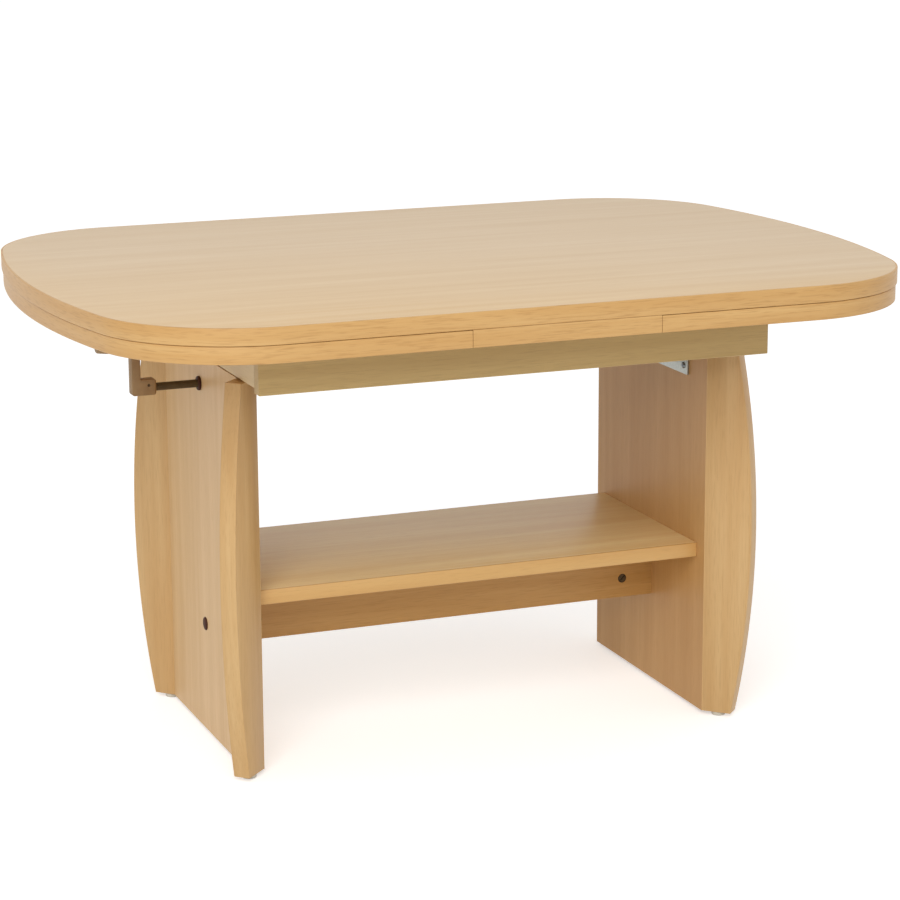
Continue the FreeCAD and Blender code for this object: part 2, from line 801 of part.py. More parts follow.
def make_arms():
    lower_right = Vector(pivot_x, 0, spindle_z)
    upper_right = Vector(pivot_x, 0, upper_z)
    lower_left = Vector(slide_x, 0, spindle_z)
    upper_left = Vector(slide_x, 0, upper_z)
    outer = scissor_arm(lower_right, upper_left, outer_arm_y)
    inner = scissor_arm(lower_left, upper_right, inner_arm_y)
    parts["rear_outer_arm"] = outer
    parts["front_outer_arm"] = mirrored(outer, AXIS_Y)
    parts["rear_inner_arm"] = inner
    parts["front_inner_arm"] = mirrored(inner, AXIS_Y)
    reach = rod_end_y
    parts["lower_right_rod"] = along_y(arm_rod_radius, pivot_x, spindle_z, -reach, reach)
    parts["upper_left_rod"] = along_y(arm_rod_radius, slide_x, upper_z, -reach, reach)
    parts["upper_right_rod"] = along_y(arm_rod_radius, pivot_x, upper_z, -reach, reach)
    hub = outer_arm_y + arm_thickness
    parts["centre_rod"] = along_y(arm_rod_radius, centre_x, centre_z, -hub, hub)
    washer_y = inner_arm_y + arm_thickness
    washer = ring(clip_radius, arm_rod_radius + fit, centre_x, centre_z, washer_y, outer_arm_y)
    parts["arm_washers"] = group([washer, mirrored(washer, AXIS_Y)])
    roller = ring(roller_radius, arm_rod_radius + fit, slide_x, upper_z, ear_y - ear_gap / 2, ear_y + sheet)
    parts["slot_rollers"] = group([roller, mirrored(roller, AXIS_Y)])
    parts["outer_rod_clips"] = group(rod_clips(pivot_x, spindle_z) + rod_clips(slide_x, upper_z))
    parts["inner_rod_clips"] = group(rod_clips(pivot_x, upper_z))


def make_nut():
    half = nut_length / 2
    side = nut_side / 2
    block = box(slide_x - half, slide_x + half, -side, side, spindle_z - side, spindle_z + side)
    block = eased(block, board_easing, lambda edge: abs(edge.Length - nut_length) < near)
    thread = along_x(rod_radius + slide_fit, 0, spindle_z, slide_x - half, slide_x + half)
    parts["spindle_nut"] = block.cut(thread)
    pin = along_y(arm_rod_radius, slide_x, spindle_z, side, inner_arm_y + arm_thickness + arm_gap)
    head_y = inner_arm_y + arm_thickness + clip_gap
    head = along_y(clip_radius, slide_x, spindle_z, head_y, head_y + clip_thickness)
    pin = pin.fuse(head).removeSplitter()
    parts["nut_trunnions"] = group([pin, mirrored(pin, AXIS_Y)])


# Crank


def make_spindle():
    shoulder = cradle_end - bush_flange_thickness
    rod = along_x(rod_radius, 0, spindle_z, rod_tip_x, shoulder - clip_gap)
    journal_end = cradle_end + sheet + bush_flange_thickness
    journal = along_x(journal_radius, 0, spindle_z, shoulder - clip_gap, journal_end)
    parts["spindle"] = rod.fuse(journal).removeSplitter()
    bore = rod_radius + fit
    sleeve = along_x(bore + bush_wall, 0, spindle_z, -panel_outer, -panel_inner)
    flange = along_x(bush_flange, 0, spindle_z, -panel_outer - bush_flange_thickness, -panel_outer)
    flange = eased(flange, bush_easing, lambda edge: lies_at(edge, "X", -panel_outer - bush_flange_thickness))
    way = along_x(bore, 0, spindle_z, -panel_outer - bush_flange_thickness, -panel_inner)
    parts["rod_bush"] = sleeve.fuse(flange).removeSplitter().cut(way)
    end_bore = journal_radius + fit
    end_sleeve = along_x(end_bore + bush_wall, 0, spindle_z, cradle_end, cradle_end + sheet)
    end_flange = along_x(bush_flange, 0, spindle_z, shoulder, cradle_end)
    end_way = along_x(end_bore, 0, spindle_z, shoulder, cradle_end + sheet)
    parts["spindle_end_bush"] = end_sleeve.fuse(end_flange).removeSplitter().cut(end_way)


def make_crank():
    """Hub, arm and grip, with the arm standing up from the rod."""
    half = crank_width / 2
    foot = spindle_z - rod_radius - hub_sole
    hub = box(hub_outer_x, hub_inner_x, -half, half, foot, foot + hub_height)
    arm = box(arm_outer_x, hub_outer_x, -half, half, foot, grip_z)
    crown = along_x(half, 0, grip_z, arm_outer_x, hub_outer_x)
    crank = hub.fuse([arm, crown]).removeSplitter()
    heel = [edge for edge in crank.Edges if lies_at(edge, "Z", foot) and lies_at(edge, "X", arm_outer_x)]
    crank = crank.makeFillet(crank_heel, heel)
    bore = along_x(rod_radius + hole_fit, 0, spindle_z, rod_tip_x - fit, hub_inner_x)
    screw_x = (hub_outer_x + hub_inner_x) / 2
    screw_z = spindle_z + set_screw_rise
    screw_bore = along_y(set_screw_radius + hole_fit, screw_x, screw_z, -half, 0)
    axle_bore = along_x(grip_axle_radius + hole_fit, 0, grip_z, arm_outer_x, hub_outer_x)
    parts["crank_arm"] = crank.cut([bore, screw_bore, axle_bore])
    rod_edge = math.sqrt(rod_radius ** 2 - set_screw_rise ** 2)
    pin = along_y(set_screw_radius, screw_x, screw_z, -half, -rod_edge - fit)
    rod_way = along_x(rod_radius + hole_fit, 0, spindle_z, rod_tip_x, hub_inner_x)
    parts["crank_set_screw"] = pin.cut(rod_way)
    grip_in = arm_outer_x - grip_gap
    grip_out = grip_in - grip_length
    axle = along_x(grip_axle_radius, 0, grip_z, grip_out - grip_gap, hub_outer_x)
    head = along_x(grip_axle_head, 0, grip_z, grip_out - grip_gap - screw_head_height, grip_out - grip_gap)
    parts["grip_axle"] = axle.fuse(head).removeSplitter()
    parts["crank_grip"] = grip_shape(grip_in, grip_out)


def grip_shape(x_in, x_out):
    """A barrel grip turned about the axle: full in the middle, drawn in at both ends."""
    middle = (x_in + x_out) / 2
    bore = grip_axle_radius + fit
    inner = [Vector(x, 0, grip_z + bore) for x in (x_in, x_out)]
    rim = [Vector(x, 0, grip_z + grip_waist) for x in (x_in, x_out)]
    belly = Part.Arc(rim[0], Vector(middle, 0, grip_z + grip_radius), rim[1]).toShape()
    sides = [Part.LineSegment(inner[0], rim[0]).toShape(), Part.LineSegment(rim[1], inner[1]).toShape()]
    core = Part.LineSegment(inner[1], inner[0]).toShape()
    face = Part.Face(Part.Wire([sides[0], belly, sides[1], core]))
    grip = face.revolve(Vector(middle, 0, grip_z), AXIS_X, 360)
    return eased(grip, board_easing, lambda edge: any(lies_at(edge, "X", x) for x in (x_in, x_out))
                 and edge.BoundBox.ZMax > grip_z + grip_waist - fit and edge.Closed)


def write_parts():
    os.makedirs("parts", exist_ok=True)
    for name, shape in sorted(parts.items()):
        shape.exportStep("parts/" + name + ".step")
        solids = shape.Solids
        print(name, len(solids), "solids", round(sum(solid.Volume for solid in solids), 1), shape.isValid())


make_legs()
make_shelf()
make_stretcher_bolts()
make_top()
make_centre_board()
make_frame()
make_leaf(-1, "left_leaf")
make_leaf(1, "right_leaf")
make_right_base_bracket()
make_left_base_bracket()
make_top_brackets()
make_bracket_screws()
make_arms()
make_nut()
make_spindle()
make_crank()
write_parts()
print("arm length", round(arm_length, 2), "rest angle", round(math.degrees(rest_angle), 3),
      "full angle", round(math.degrees(full_angle), 3))
print("pivot x", pivot_x, "slide x", slide_x, "to", round(slide_end_x, 2))
print("spindle z", spindle_z, "upper z", upper_z)
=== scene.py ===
# %% [markdown]
# # A coffee table that rises and grows
# The table is a crank-lifted coffee table in beech-effect board. Its measured parts come from a CAD model,
# and this lesson dresses them: it gives every board and fitting its finish, and remodels the pieces whose
# small forms catch the light. The CAD frame is loaded first and never moved, so each new piece has a place
# to go to. Sizes are written in millimetres and turned to metres by one factor.

# %% Load the frame
import json
import math

import bmesh
import bpy
from mathutils import Matrix, Vector


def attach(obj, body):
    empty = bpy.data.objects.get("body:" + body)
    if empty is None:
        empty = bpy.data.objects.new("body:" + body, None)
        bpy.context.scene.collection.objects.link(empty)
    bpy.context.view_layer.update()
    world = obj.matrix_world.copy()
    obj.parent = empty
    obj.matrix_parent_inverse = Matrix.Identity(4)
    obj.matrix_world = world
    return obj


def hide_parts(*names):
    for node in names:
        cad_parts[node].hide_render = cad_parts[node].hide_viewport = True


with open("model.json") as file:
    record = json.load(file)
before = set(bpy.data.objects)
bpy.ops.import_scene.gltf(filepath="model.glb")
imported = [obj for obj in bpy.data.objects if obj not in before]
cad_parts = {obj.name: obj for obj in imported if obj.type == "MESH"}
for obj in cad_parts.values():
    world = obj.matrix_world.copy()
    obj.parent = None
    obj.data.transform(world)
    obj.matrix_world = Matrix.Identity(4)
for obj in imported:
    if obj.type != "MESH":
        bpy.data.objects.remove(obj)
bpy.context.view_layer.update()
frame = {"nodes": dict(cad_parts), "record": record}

nodes = frame["nodes"]
MM = 0.001
X, Y, Z = Vector((1, 0, 0)), Vector((0, 1, 0)), Vector((0, 0, 1))
ENDS = (-1, 1)
CORNERS = [(end, side) for end in ENDS for side in ENDS]

# %% [markdown]
# ## The camera
# The photograph was taken with a long lens from the front left, a little above the top. A camera can be
# placed by eye, but the corners of the legs and the outline of the top give its place, turn and focal
# length, so they are set from that fit. The sensor is 36 mm wide and the picture is square.

# %% Camera
PICTURE_PIXELS = 900
FOCAL_PIXELS = 2809.66
SENSOR = 36.0
CAMERA_PLACE = (-1.26842, -3.29529, 1.17175)
YAW, PITCH, ROLL = math.radians(21.2492), math.radians(13.1825), math.radians(-0.3077)

lens = bpy.data.cameras.new("photo_camera")
lens.sensor_width = SENSOR
lens.lens = SENSOR * FOCAL_PIXELS / PICTURE_PIXELS
camera = bpy.data.objects.new("photo_camera", lens)
bpy.context.scene.collection.objects.link(camera)
heading = Matrix.Rotation(-YAW, 4, "Z") @ Matrix.Rotation(math.pi / 2 - PITCH, 4, "X")
camera.matrix_world = Matrix.Translation(CAMERA_PLACE) @ heading @ Matrix.Rotation(ROLL, 4, "Z")
bpy.context.scene.camera = camera
print("lens", round(lens.lens, 2), "mm")

# %% [markdown]
# ## Tools for the materials
# A colour picked from a picture is an sRGB value, and Blender's sockets take linear ones, so one function
# turns hex codes into linear colours. Another adds a node: a plain value goes into the socket, and an output
# of another node is linked to it. The fades and mixes that the finishes share are built with these two.


# %% Colours and nodes
def linear(hexcode):
    """An sRGB hex colour as linear values with full alpha."""
    channels = [int(hexcode[place:place + 2], 16) / 255 for place in (0, 2, 4)]
    return [c / 12.92 if c <= 0.04045 else ((c + 0.055) / 1.055) ** 2.4 for c in channels] + [1.0]


def add(tree, kind, sockets=None, **settings):
    """Add one node to a tree, with its settings, its values and its links."""
    node = tree.nodes.new(kind)
    for key, value in settings.items():
        setattr(node, key, value)
    for key, value in (sockets or {}).items():
        if isinstance(value, bpy.types.NodeSocket):
            tree.links.new(value, node.inputs[key])
        else:
            node.inputs[key].default_value = value
    return node


def new_finish(name):
    """An empty material: its node tree and its main shader."""
    finish = bpy.data.materials.new(name)
    finish.use_nodes = True
    return finish, finish.node_tree, finish.node_tree.nodes["Principled BSDF"]


def fade(tree, value, low, high, top=1.0):
    """Stretch a value between two levels to the range from 0 to a top."""
    sockets = {"Value": value, "From Min": low, "From Max": high, "To Max": top}
    return add(tree, "ShaderNodeMapRange", sockets).outputs[0]


# A colour mix has sockets of the same name for each kind of data, so its colour ones go by number.
MIX_A, MIX_B, MIX_OUT = 6, 7, 2


def blend(tree, share, first, second):
    """Mix two colours by a share."""
    sockets = {"Factor": share, MIX_A: first, MIX_B: second}
    return add(tree, "ShaderNodeMix", sockets, data_type="RGBA").outputs[MIX_OUT]


def seen_directly(tree):
    """1 for what the camera or a shiny surface sees, and 0 for light on its way."""
    path = add(tree, "ShaderNodeLightPath").outputs
    shiny = {0: path["Is Glossy Ray"], 1: path["Is Transmission Ray"]}
    mirrored = add(tree, "ShaderNodeMath", shiny, operation="MAXIMUM").outputs[0]
    either = {0: path["Is Camera Ray"], 1: mirrored}
    return add(tree, "ShaderNodeMath", either, operation="MAXIMUM").outputs[0]


print("white is", linear("FFFFFF"))

# %% [markdown]
# ## Light and floor
# The real table stands on a white sweep under large soft lamps. The sky is white, and what the camera or a
# shiny surface sees of it is pure white, while its light on the object stays at a plain level. One wide lamp
# from the front left gives the boards their form. The floor is a pale sheet that keeps the shadow of the
# legs, and a little light of its own for the camera brings it up to the white behind it.

# %% World, lamp and floor
SKY_LIGHT = 0.64
LAMP_WATTS = 98
LAMP_PLACE, LAMP_AIM = Vector((-1.9, -3.6, 2.9)), Vector((0, 0, 0.35))
LAMP_SIZE = 2.6
FLOOR_SIZE = 60
FLOOR_GLOW = 0.47

scene = bpy.context.scene
scene.view_settings.view_transform = "Standard"
world = bpy.data.worlds.new("white_studio")
scene.world = world
world.use_nodes = True
sky = world.node_tree
levels = {"Value": seen_directly(sky), "To Min": SKY_LIGHT, "To Max": 1.0}
strength = add(sky, "ShaderNodeMapRange", levels)
backdrop = sky.nodes["Background"]
backdrop.inputs["Color"].default_value = linear("FFFFFF")
sky.links.new(strength.outputs[0], backdrop.inputs["Strength"])

lamp = bpy.data.objects.new("front_softbox", bpy.data.lights.new("front_softbox", "AREA"))
lamp.data.energy = LAMP_WATTS
lamp.data.size = LAMP_SIZE
lamp.location = LAMP_PLACE
lamp.rotation_euler = (LAMP_AIM - LAMP_PLACE).to_track_quat("-Z", "Y").to_euler()
scene.collection.objects.link(lamp)

bpy.ops.object.select_all(action="DESELECT")
bpy.ops.mesh.primitive_plane_add(size=FLOOR_SIZE)
floor = bpy.context.object
floor.name = "studio_floor"
paper, tree, shader = new_finish("white_paper_sweep")
shader.inputs["Base Color"].default_value = linear("F2F2F2")
shader.inputs["Roughness"].default_value = 0.9
shader.inputs["Specular IOR Level"].default_value = 0.0
glow = add(tree, "ShaderNodeMath", {0: seen_directly(tree), 1: FLOOR_GLOW}, operation="MULTIPLY")
shader.inputs["Emission Color"].default_value = linear("FFFFFF")
tree.links.new(glow.outputs[0], shader.inputs["Emission Strength"])
floor.data.materials.append(paper)
print("sky at", SKY_LIGHT, "and a lamp of", LAMP_WATTS, "W")

# %% [markdown]
# ## Beech foil
# The boards are chipboard under a printed beech foil: satin, warm, with soft bands along the grain, thin
# streaks inside them and short darker flecks, which are the rays that beech shows. A picture of wood would
# repeat and stretch, so three stretched noises draw it instead, each from a real length and width. The flecks
# of real beech are 0.5 mm wide, which is under half a pixel here, so they are drawn a little over 1 mm wide.
# Along the edges the band is printed along the edge, so its grain runs along two axes at once. The foil is a
# melamine surface: its IOR is 1.5, its sheen is satin, and the pores give it a very shallow relief.


# %% Printed beech
# Length and width in mm, and detail, of the three noises.
BANDS, STREAKS, RAYS = (520, 26, 2), (210, 3.2, 2), (24, 1.3, 1)
PORE_DEPTH, FOIL_IOR = 0.08, 1.5


def beech_foil(name, grain, pale, deep, fleck, gloss=0.42, streak=0.4, ray=0.3, shine=0.5):
    """A printed beech foil whose grain runs along the axes named in grain."""
    foil, tree, shader = new_finish(name)
    place = add(tree, "ShaderNodeTexCoord").outputs["Object"]

    def print_layer(long, wide, detail):
        sizes = [long if axis in grain else wide for axis in "XYZ"]
        scales = [1 / (size * MM) for size in sizes]
        stretched = add(tree, "ShaderNodeMapping", {"Vector": place, "Scale": scales}).outputs[0]
        noise = {"Vector": stretched, "Scale": 1.0, "Detail": detail, "Roughness": 0.55}
        return add(tree, "ShaderNodeTexNoise", noise).outputs["Fac"]

    bands, streaks, rays = print_layer(*BANDS), print_layer(*STREAKS), print_layer(*RAYS)
    print_1 = blend(tree, fade(tree, bands, 0.3, 0.7), linear(pale), linear(deep))
    print_2 = blend(tree, fade(tree, streaks, 0.35, 0.75, streak), print_1, linear(deep))
    print_3 = blend(tree, fade(tree, rays, 0.52, 0.72, ray), print_2, linear(fleck))
    tree.links.new(print_3, shader.inputs["Base Color"])
    levels = {"Value": streaks, "To Min": gloss - 0.05, "To Max": gloss + 0.07}
    sheen = add(tree, "ShaderNodeMapRange", levels)
    tree.links.new(sheen.outputs[0], shader.inputs["Roughness"])
    pores = add(tree, "ShaderNodeBump", {"Height": rays, "Strength": 0.12, "Distance": PORE_DEPTH * MM})
    tree.links.new(pores.outputs[0], shader.inputs["Normal"])
    shader.inputs["IOR"].default_value = FOIL_IOR
    shader.inputs["Specular IOR Level"].default_value = shine
    return foil


top_foil = beech_foil("beech_foil_along_the_top", "X", "E1C49A", "DAB98A", "CDA878", 0.4, 0.25, 0.2)
band_foil = beech_foil("beech_edge_band", "XY", "D8AE70", "C89858", "AC7C42", 0.42, 0.55, 0.45)
panel_foil = beech_foil("beech_foil_upright_on_the_left_panel", "Z", "E1BE8E", "D5AF7A", "C49B68", shine=0.28)
# The right panel gets the left panel's print made darker and deeper: painted shade for the shade under the
# top on its inner face.
panel_foil_with_painted_shade = beech_foil("beech_foil_upright_with_painted_shade_on_the_right_panel", "Z", "D0A56D", "C4975D", "B4864F", shine=0.28)
leg_foil = beech_foil("beech_foil_upright_on_the_stiles", "Z", "D6B27C", "C89E65", "B58B55")
# The shelf's foil and edge band are the beech print made paler: painted fill light, because the shelf lies in
# the shade of the top.
shelf_foil_with_painted_fill_light = beech_foil("beech_foil_along_the_shelf_with_painted_fill_light", "X", "F4DAA4", "E9C78C", "D5B074")
shelf_band_with_painted_fill_light = beech_foil("beech_edge_band_of_the_shelf_with_painted_fill_light", "XY", "DDB474", "D1A363", "BD8F53")
rail_foil = beech_foil("beech_foil_along_the_stretcher", "X", "CFA263", "BD8D4B", "A37638")
apron_foil = beech_foil("olive_foil_along_the_apron", "X", "C4A66C", "B19258", "9A7D4A", 0.45)
# The paler band on the aprons' lower edge is a painted highlight along the arris.
apron_band_with_painted_highlight = beech_foil("apron_edge_band_with_painted_highlight", "XY", "D9BE86", "CBAC72", "B79A62", 0.45)
end_foil = beech_foil("beech_foil_along_the_end_boards", "Y", "DCC498", "CFB485", "B99C6C", 0.45)
planed_beech = beech_foil("planed_solid_beech", "X", "DDB98C", "CDA472", "A87E50", 0.6)
print("twelve printed and planed woods")

# %% [markdown]
# ## Metals and plastics
# The brackets and screws are zinc-plated steel: a pale grey with the faint lengthwise marks of rolling. On
# the screws the zinc is painted darker, which is painted shade round their heads. The spindle is oiled black
# steel, the nut is bronze. The crank is moulded ABS with a fine eroded grain, the caps are darker
# polyethylene, and the glides are nylon. All of them share one recipe: a colour that wanders a little over
# patches, and a fine grit that moves the roughness and gives the relief of the real surface.


# %% One recipe for small fittings
PATCH_SIZE = 14


def fitting_finish(name, colour, worn, metal, gloss, grit, relief, stretch=(1, 1, 1), shine=0.5):
    """A finish whose colour wanders over patches, with a grit and a depth of relief in mm."""
    finish, tree, shader = new_finish(name)
    place = add(tree, "ShaderNodeTexCoord").outputs["Object"]

    def noise(size, detail):
        scales = [value / (size * MM) for value in stretch]
        scaled = add(tree, "ShaderNodeMapping", {"Vector": place, "Scale": scales}).outputs[0]
        sockets = {"Vector": scaled, "Scale": 1.0, "Detail": detail}
        return add(tree, "ShaderNodeTexNoise", sockets).outputs["Fac"]

    patches, grain = noise(PATCH_SIZE, 3.0), noise(grit, 1.0)
    tone = blend(tree, fade(tree, patches, 0.3, 0.7), linear(colour), linear(worn))
    tree.links.new(tone, shader.inputs["Base Color"])
    levels = {"Value": grain, "To Min": gloss - 0.06, "To Max": gloss + 0.06}
    sheen = add(tree, "ShaderNodeMapRange", levels)
    tree.links.new(sheen.outputs[0], shader.inputs["Roughness"])
    bump = add(tree, "ShaderNodeBump", {"Height": grain, "Strength": 0.25, "Distance": relief * MM})
    tree.links.new(bump.outputs[0], shader.inputs["Normal"])
    shader.inputs["Metallic"].default_value = metal
    shader.inputs["Specular IOR Level"].default_value = shine
    return finish


zinc = fitting_finish("zinc_plated_steel", "B1B3AC", "9EA09A", 1.0, 0.36, 0.6, 0.02, (1, 6, 6))
# The screws' zinc is darker than the plates': painted shade round the screw heads.
screw_zinc_with_painted_shade = fitting_finish("zinc_of_the_screws_with_painted_shade", "8E9396", "7C8184", 1.0, 0.4, 0.5, 0.03)
black_steel = fitting_finish("oiled_black_steel", "5F4F36", "4F402A", 0.4, 0.42, 0.5, 0.03, shine=0.3)
bronze = fitting_finish("cast_bronze", "B08D4F", "96743C", 1.0, 0.42, 0.8, 0.06)
brown_abs = fitting_finish("moulded_brown_abs", "A78A65", "997B58", 0.0, 0.55, 0.35, 0.04, shine=0.25)
dark_plastic = fitting_finish("dark_brown_polyethylene", "4E2D1F", "412318", 0.0, 0.6, 0.4, 0.03, shine=0.15)
nylon = fitting_finish("natural_nylon", "DDD8CB", "D2CCBC", 0.0, 0.5, 0.5, 0.03)
print("seven fitting finishes")

# %% [markdown]
# ## Dress the CAD nodes
# A CAD part whose shape is already right only needs its finish. Each node carries one material slot named in
# the record, so a table from node to finish is enough. Pieces that are remodelled later get theirs there.

# %% Finishes of the CAD nodes
by_slot = {
    "beech_top": top_foil, "beech_leg": leg_foil, "apron_board": apron_foil, "raw_beech": planed_beech,
    "zinc_steel": zinc, "dark_steel": black_steel, "brown_plastic": brown_abs,
    "dark_brown_plastic": dark_plastic, "white_nylon": nylon, "bronze": bronze,
}
by_node = {
    # The shelf's paler foil is painted fill light.
    "shelf_board": shelf_foil_with_painted_fill_light, "shelf_stretcher": rail_foil,
    # The right panel's darker foil is painted shade.
    "left_leg_panel": panel_foil, "right_leg_panel": panel_foil_with_painted_shade,
    "left_end_board": end_foil, "right_end_board": end_foil,
}
for part in frame["record"]["subparts"]:
    dressed = nodes[part["node"]]
    finish = by_node.get(part["node"], by_slot[part["material_slot"]])
    for material_slot in dressed.material_slots:
        material_slot.material = finish
print("dressed", len(nodes), "nodes")

# %% [markdown]
# ## Tools for shaping
# Modelling by hand means: start small, select, extrude, turn, bevel. These helpers do the same in code. A
# piece starts as one corner (a tiny plane merged to its middle) and is drawn on from there, or it starts as
# a cube or cylinder. Selection goes by place, so it still finds its edge when a size changes. An operator
# acts on all that is selected, and the loaded nodes are, so every piece begins by deselecting.


# %% Select, draw, turn and finish
def alone(piece=None):
    """Leave edit mode and keep one piece selected and active, or none."""
    if bpy.context.mode != "OBJECT":
        bpy.ops.object.mode_set(mode="OBJECT")
    bpy.ops.object.select_all(action="DESELECT")
    if piece:
        piece.select_set(True)
        bpy.context.view_layer.objects.active = piece


def open_up(piece):
    """Take one piece into edit mode, with all of it selected."""
    alone(piece)
    bpy.ops.object.mode_set(mode="EDIT")
    bpy.ops.mesh.select_all(action="SELECT")


def pick(kind, test):
    """In edit mode, select only the corners, edges or faces that pass a test."""
    bpy.ops.mesh.select_mode(type=kind)
    bpy.ops.mesh.select_all(action="DESELECT")
    shape = bmesh.from_edit_mesh(bpy.context.object.data)
    for item in {"VERT": shape.verts, "EDGE": shape.edges, "FACE": shape.faces}[kind]:
        if test(item):
            item.select_set(True)
    shape.select_flush_mode()
    bmesh.update_edit_mesh(bpy.context.object.data)


def first_corner(name, place):
    """Start a piece as a single corner, in edit mode."""
    alone()
    bpy.ops.mesh.primitive_plane_add(size=10 * MM)
    piece = bpy.context.object
    piece.name = name
    open_up(piece)
    bpy.ops.mesh.select_mode(type="VERT")
    bpy.ops.mesh.merge(type="CENTER")
    bpy.ops.transform.translate(value=place)
    return piece


def draw_on(step):
    """Draw an edge from the selected corner."""
    bpy.ops.mesh.extrude_vertices_move(TRANSFORM_OT_translate={"value": step})


def close_up(gap=0.002):
    """Merge doubled corners, turn the faces outwards and leave edit mode."""
    bpy.ops.mesh.select_all(action="SELECT")
    bpy.ops.mesh.remove_doubles(threshold=gap * MM)
    bpy.ops.mesh.normals_make_consistent(inside=False)
    bpy.ops.object.mode_set(mode="OBJECT")


def fill_and_pull(step):
    """Fill the drawn outline with a face, pull it to a solid and leave edit mode."""
    bpy.ops.mesh.select_all(action="SELECT")
    bpy.ops.mesh.remove_doubles(threshold=0.01 * MM)
    bpy.ops.mesh.edge_face_add()
    bpy.ops.mesh.extrude_region_move(TRANSFORM_OT_translate={"value": step})
    close_up()


def both_ways(half_line):
    """A profile together with its mirror image about the middle."""
    return [(-x, radius) for x, radius in reversed(half_line)] + half_line


def turned(name, profile, steps=48):
    """Turn a profile of (along X, radius) pairs in mm round the X axis, as on a lathe."""
    piece = first_corner(name, Vector((profile[0][0], 0, profile[0][1])) * MM)
    for start, end in zip(profile, profile[1:]):
        draw_on(Vector((end[0] - start[0], 0, end[1] - start[1])) * MM)
    bpy.ops.mesh.select_all(action="SELECT")
    bpy.ops.mesh.remove_doubles(threshold=0.001 * MM)
    bpy.ops.mesh.spin(steps=steps, angle=math.tau, center=(0, 0, 0), axis=(1, 0, 0))
    close_up()
    return piece


def plain_rod(name, low, high, radius, steps=48):
    """A plain round bar along X between two levels in mm."""
    return turned(name, [(low, 0), (low, radius), (high, radius), (high, 0)], steps)


def block(name, low, high):
    """A cube between two corners, in mm."""
    alone()
    bpy.ops.mesh.primitive_cube_add(size=1)
    piece = bpy.context.object
    piece.name = name
    low, high = Vector(low) * MM, Vector(high) * MM
    piece.data.transform(Matrix.Translation((low + high) / 2) @ Matrix.Diagonal((high - low).to_4d()))
    return piece


def lay(axis, place, roll=0.0):
    """The matrix that turns a piece made along X to an axis and moves it to a place in mm."""
    turn = X.rotation_difference(axis).to_matrix().to_4x4()
    return Matrix.Translation(Vector(place) * MM) @ turn @ Matrix.Rotation(roll, 4, "X")


def moved(piece, matrix):
    """Move the mesh itself, so that the object stays at the origin."""
    piece.data.transform(matrix)
    if matrix.determinant() < 0:
        piece.data.flip_normals()
    return piece


def apply_all(piece):
    """Apply every modifier of a piece."""
    alone(piece)
    for modifier in list(piece.modifiers):
        bpy.ops.object.modifier_apply(modifier=modifier.name)


def soften(piece, width, segments=2, limit=35):
    """Round every edge sharper than the limit."""
    rounding = piece.modifiers.new("soft_edges", "BEVEL")
    rounding.width = width * MM
    rounding.segments = segments
    rounding.angle_limit = math.radians(limit)
    apply_all(piece)
    return piece


def combine(piece, tool, operation):
    """Change one shape by another and throw the tool away."""
    change = piece.modifiers.new("combine", "BOOLEAN")
    change.operation = operation
    change.solver = "EXACT"
    change.object = tool
    apply_all(piece)
    bpy.data.objects.remove(tool)
    return piece


def cut(piece, tool):
    """Cut one shape out of another."""
    return combine(piece, tool, "DIFFERENCE")


def fuse(piece, *others):
    """Weld shapes into one skin."""
    for other in others:
        combine(piece, other, "UNION")
    return piece


def round_ends(piece, test, radius):
    """Bevel the edges that pass a test to a wide round, just short of where two rounds would meet."""
    open_up(piece)
    pick("EDGE", test)
    bpy.ops.mesh.bevel(offset=(radius - 0.01) * MM, segments=12, affect="EDGES")
    close_up()
    return piece


def hand_over(piece, finish, body, slot, *replaced):
    """Clear needle faces, shade the piece, give it its finish and body, and let it stand for CAD nodes."""
    open_up(piece)
    bpy.ops.mesh.dissolve_degenerate(threshold=0.002 * MM)
    bpy.ops.object.mode_set(mode="OBJECT")
    bpy.ops.object.shade_smooth_by_angle(angle=math.radians(32))
    if not piece.data.materials:
        piece.data.materials.append(finish)
    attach(piece, body)
    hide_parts(*replaced)
    print(piece.name, len(piece.data.polygons), "faces, stands for", ", ".join(replaced))


def set_of(model, name, matrices):
    """One piece made of copies of a model, each with its own mesh at its own place."""
    alone()
    copies = []
    for matrix in matrices:
        copy = bpy.data.objects.new(name, model.data.copy())
        scene.collection.objects.link(copy)
        moved(copy, matrix).select_set(True)
        copies.append(copy)
    bpy.context.view_layer.objects.active = copies[0]
    if len(copies) > 1:
        bpy.ops.object.join()
    copies[0].name = name
    return copies[0]


print("shaping tools ready")

# %% [markdown]
# ## The top and its leaves
# The top is a 20.5 mm board with large round corners and slightly bowed ends, and the leaf layer below has
# the same outline, 2 mm shorter at each end. A quarter of the outline is two turns of one corner about the
# centres of its arcs and a straight run, and a mirror makes the rest, so both arcs meet without a kink. The
# edges carry a 2 mm band with a rounded lip, and where it meets the foil there is a hair-thin glue line. That
# line is cut with three insets, because it is what tells a banded board from a solid one.

# %% Outline of the boards
TOP_LENGTH, LEAF_LENGTH, TOP_LOW, TOP_HIGH = 1070.0, 1066.0, 579.5, 600.0
HALF_WIDTH, CORNER_RADIUS, END_RADIUS = 395.0, 180.0, 1200.0
LIP, BAND, GLUE_LINE, GLUE_DEPTH = 1.2, 0.8, 0.25, 0.12
SAME_PLACE = 1e-6


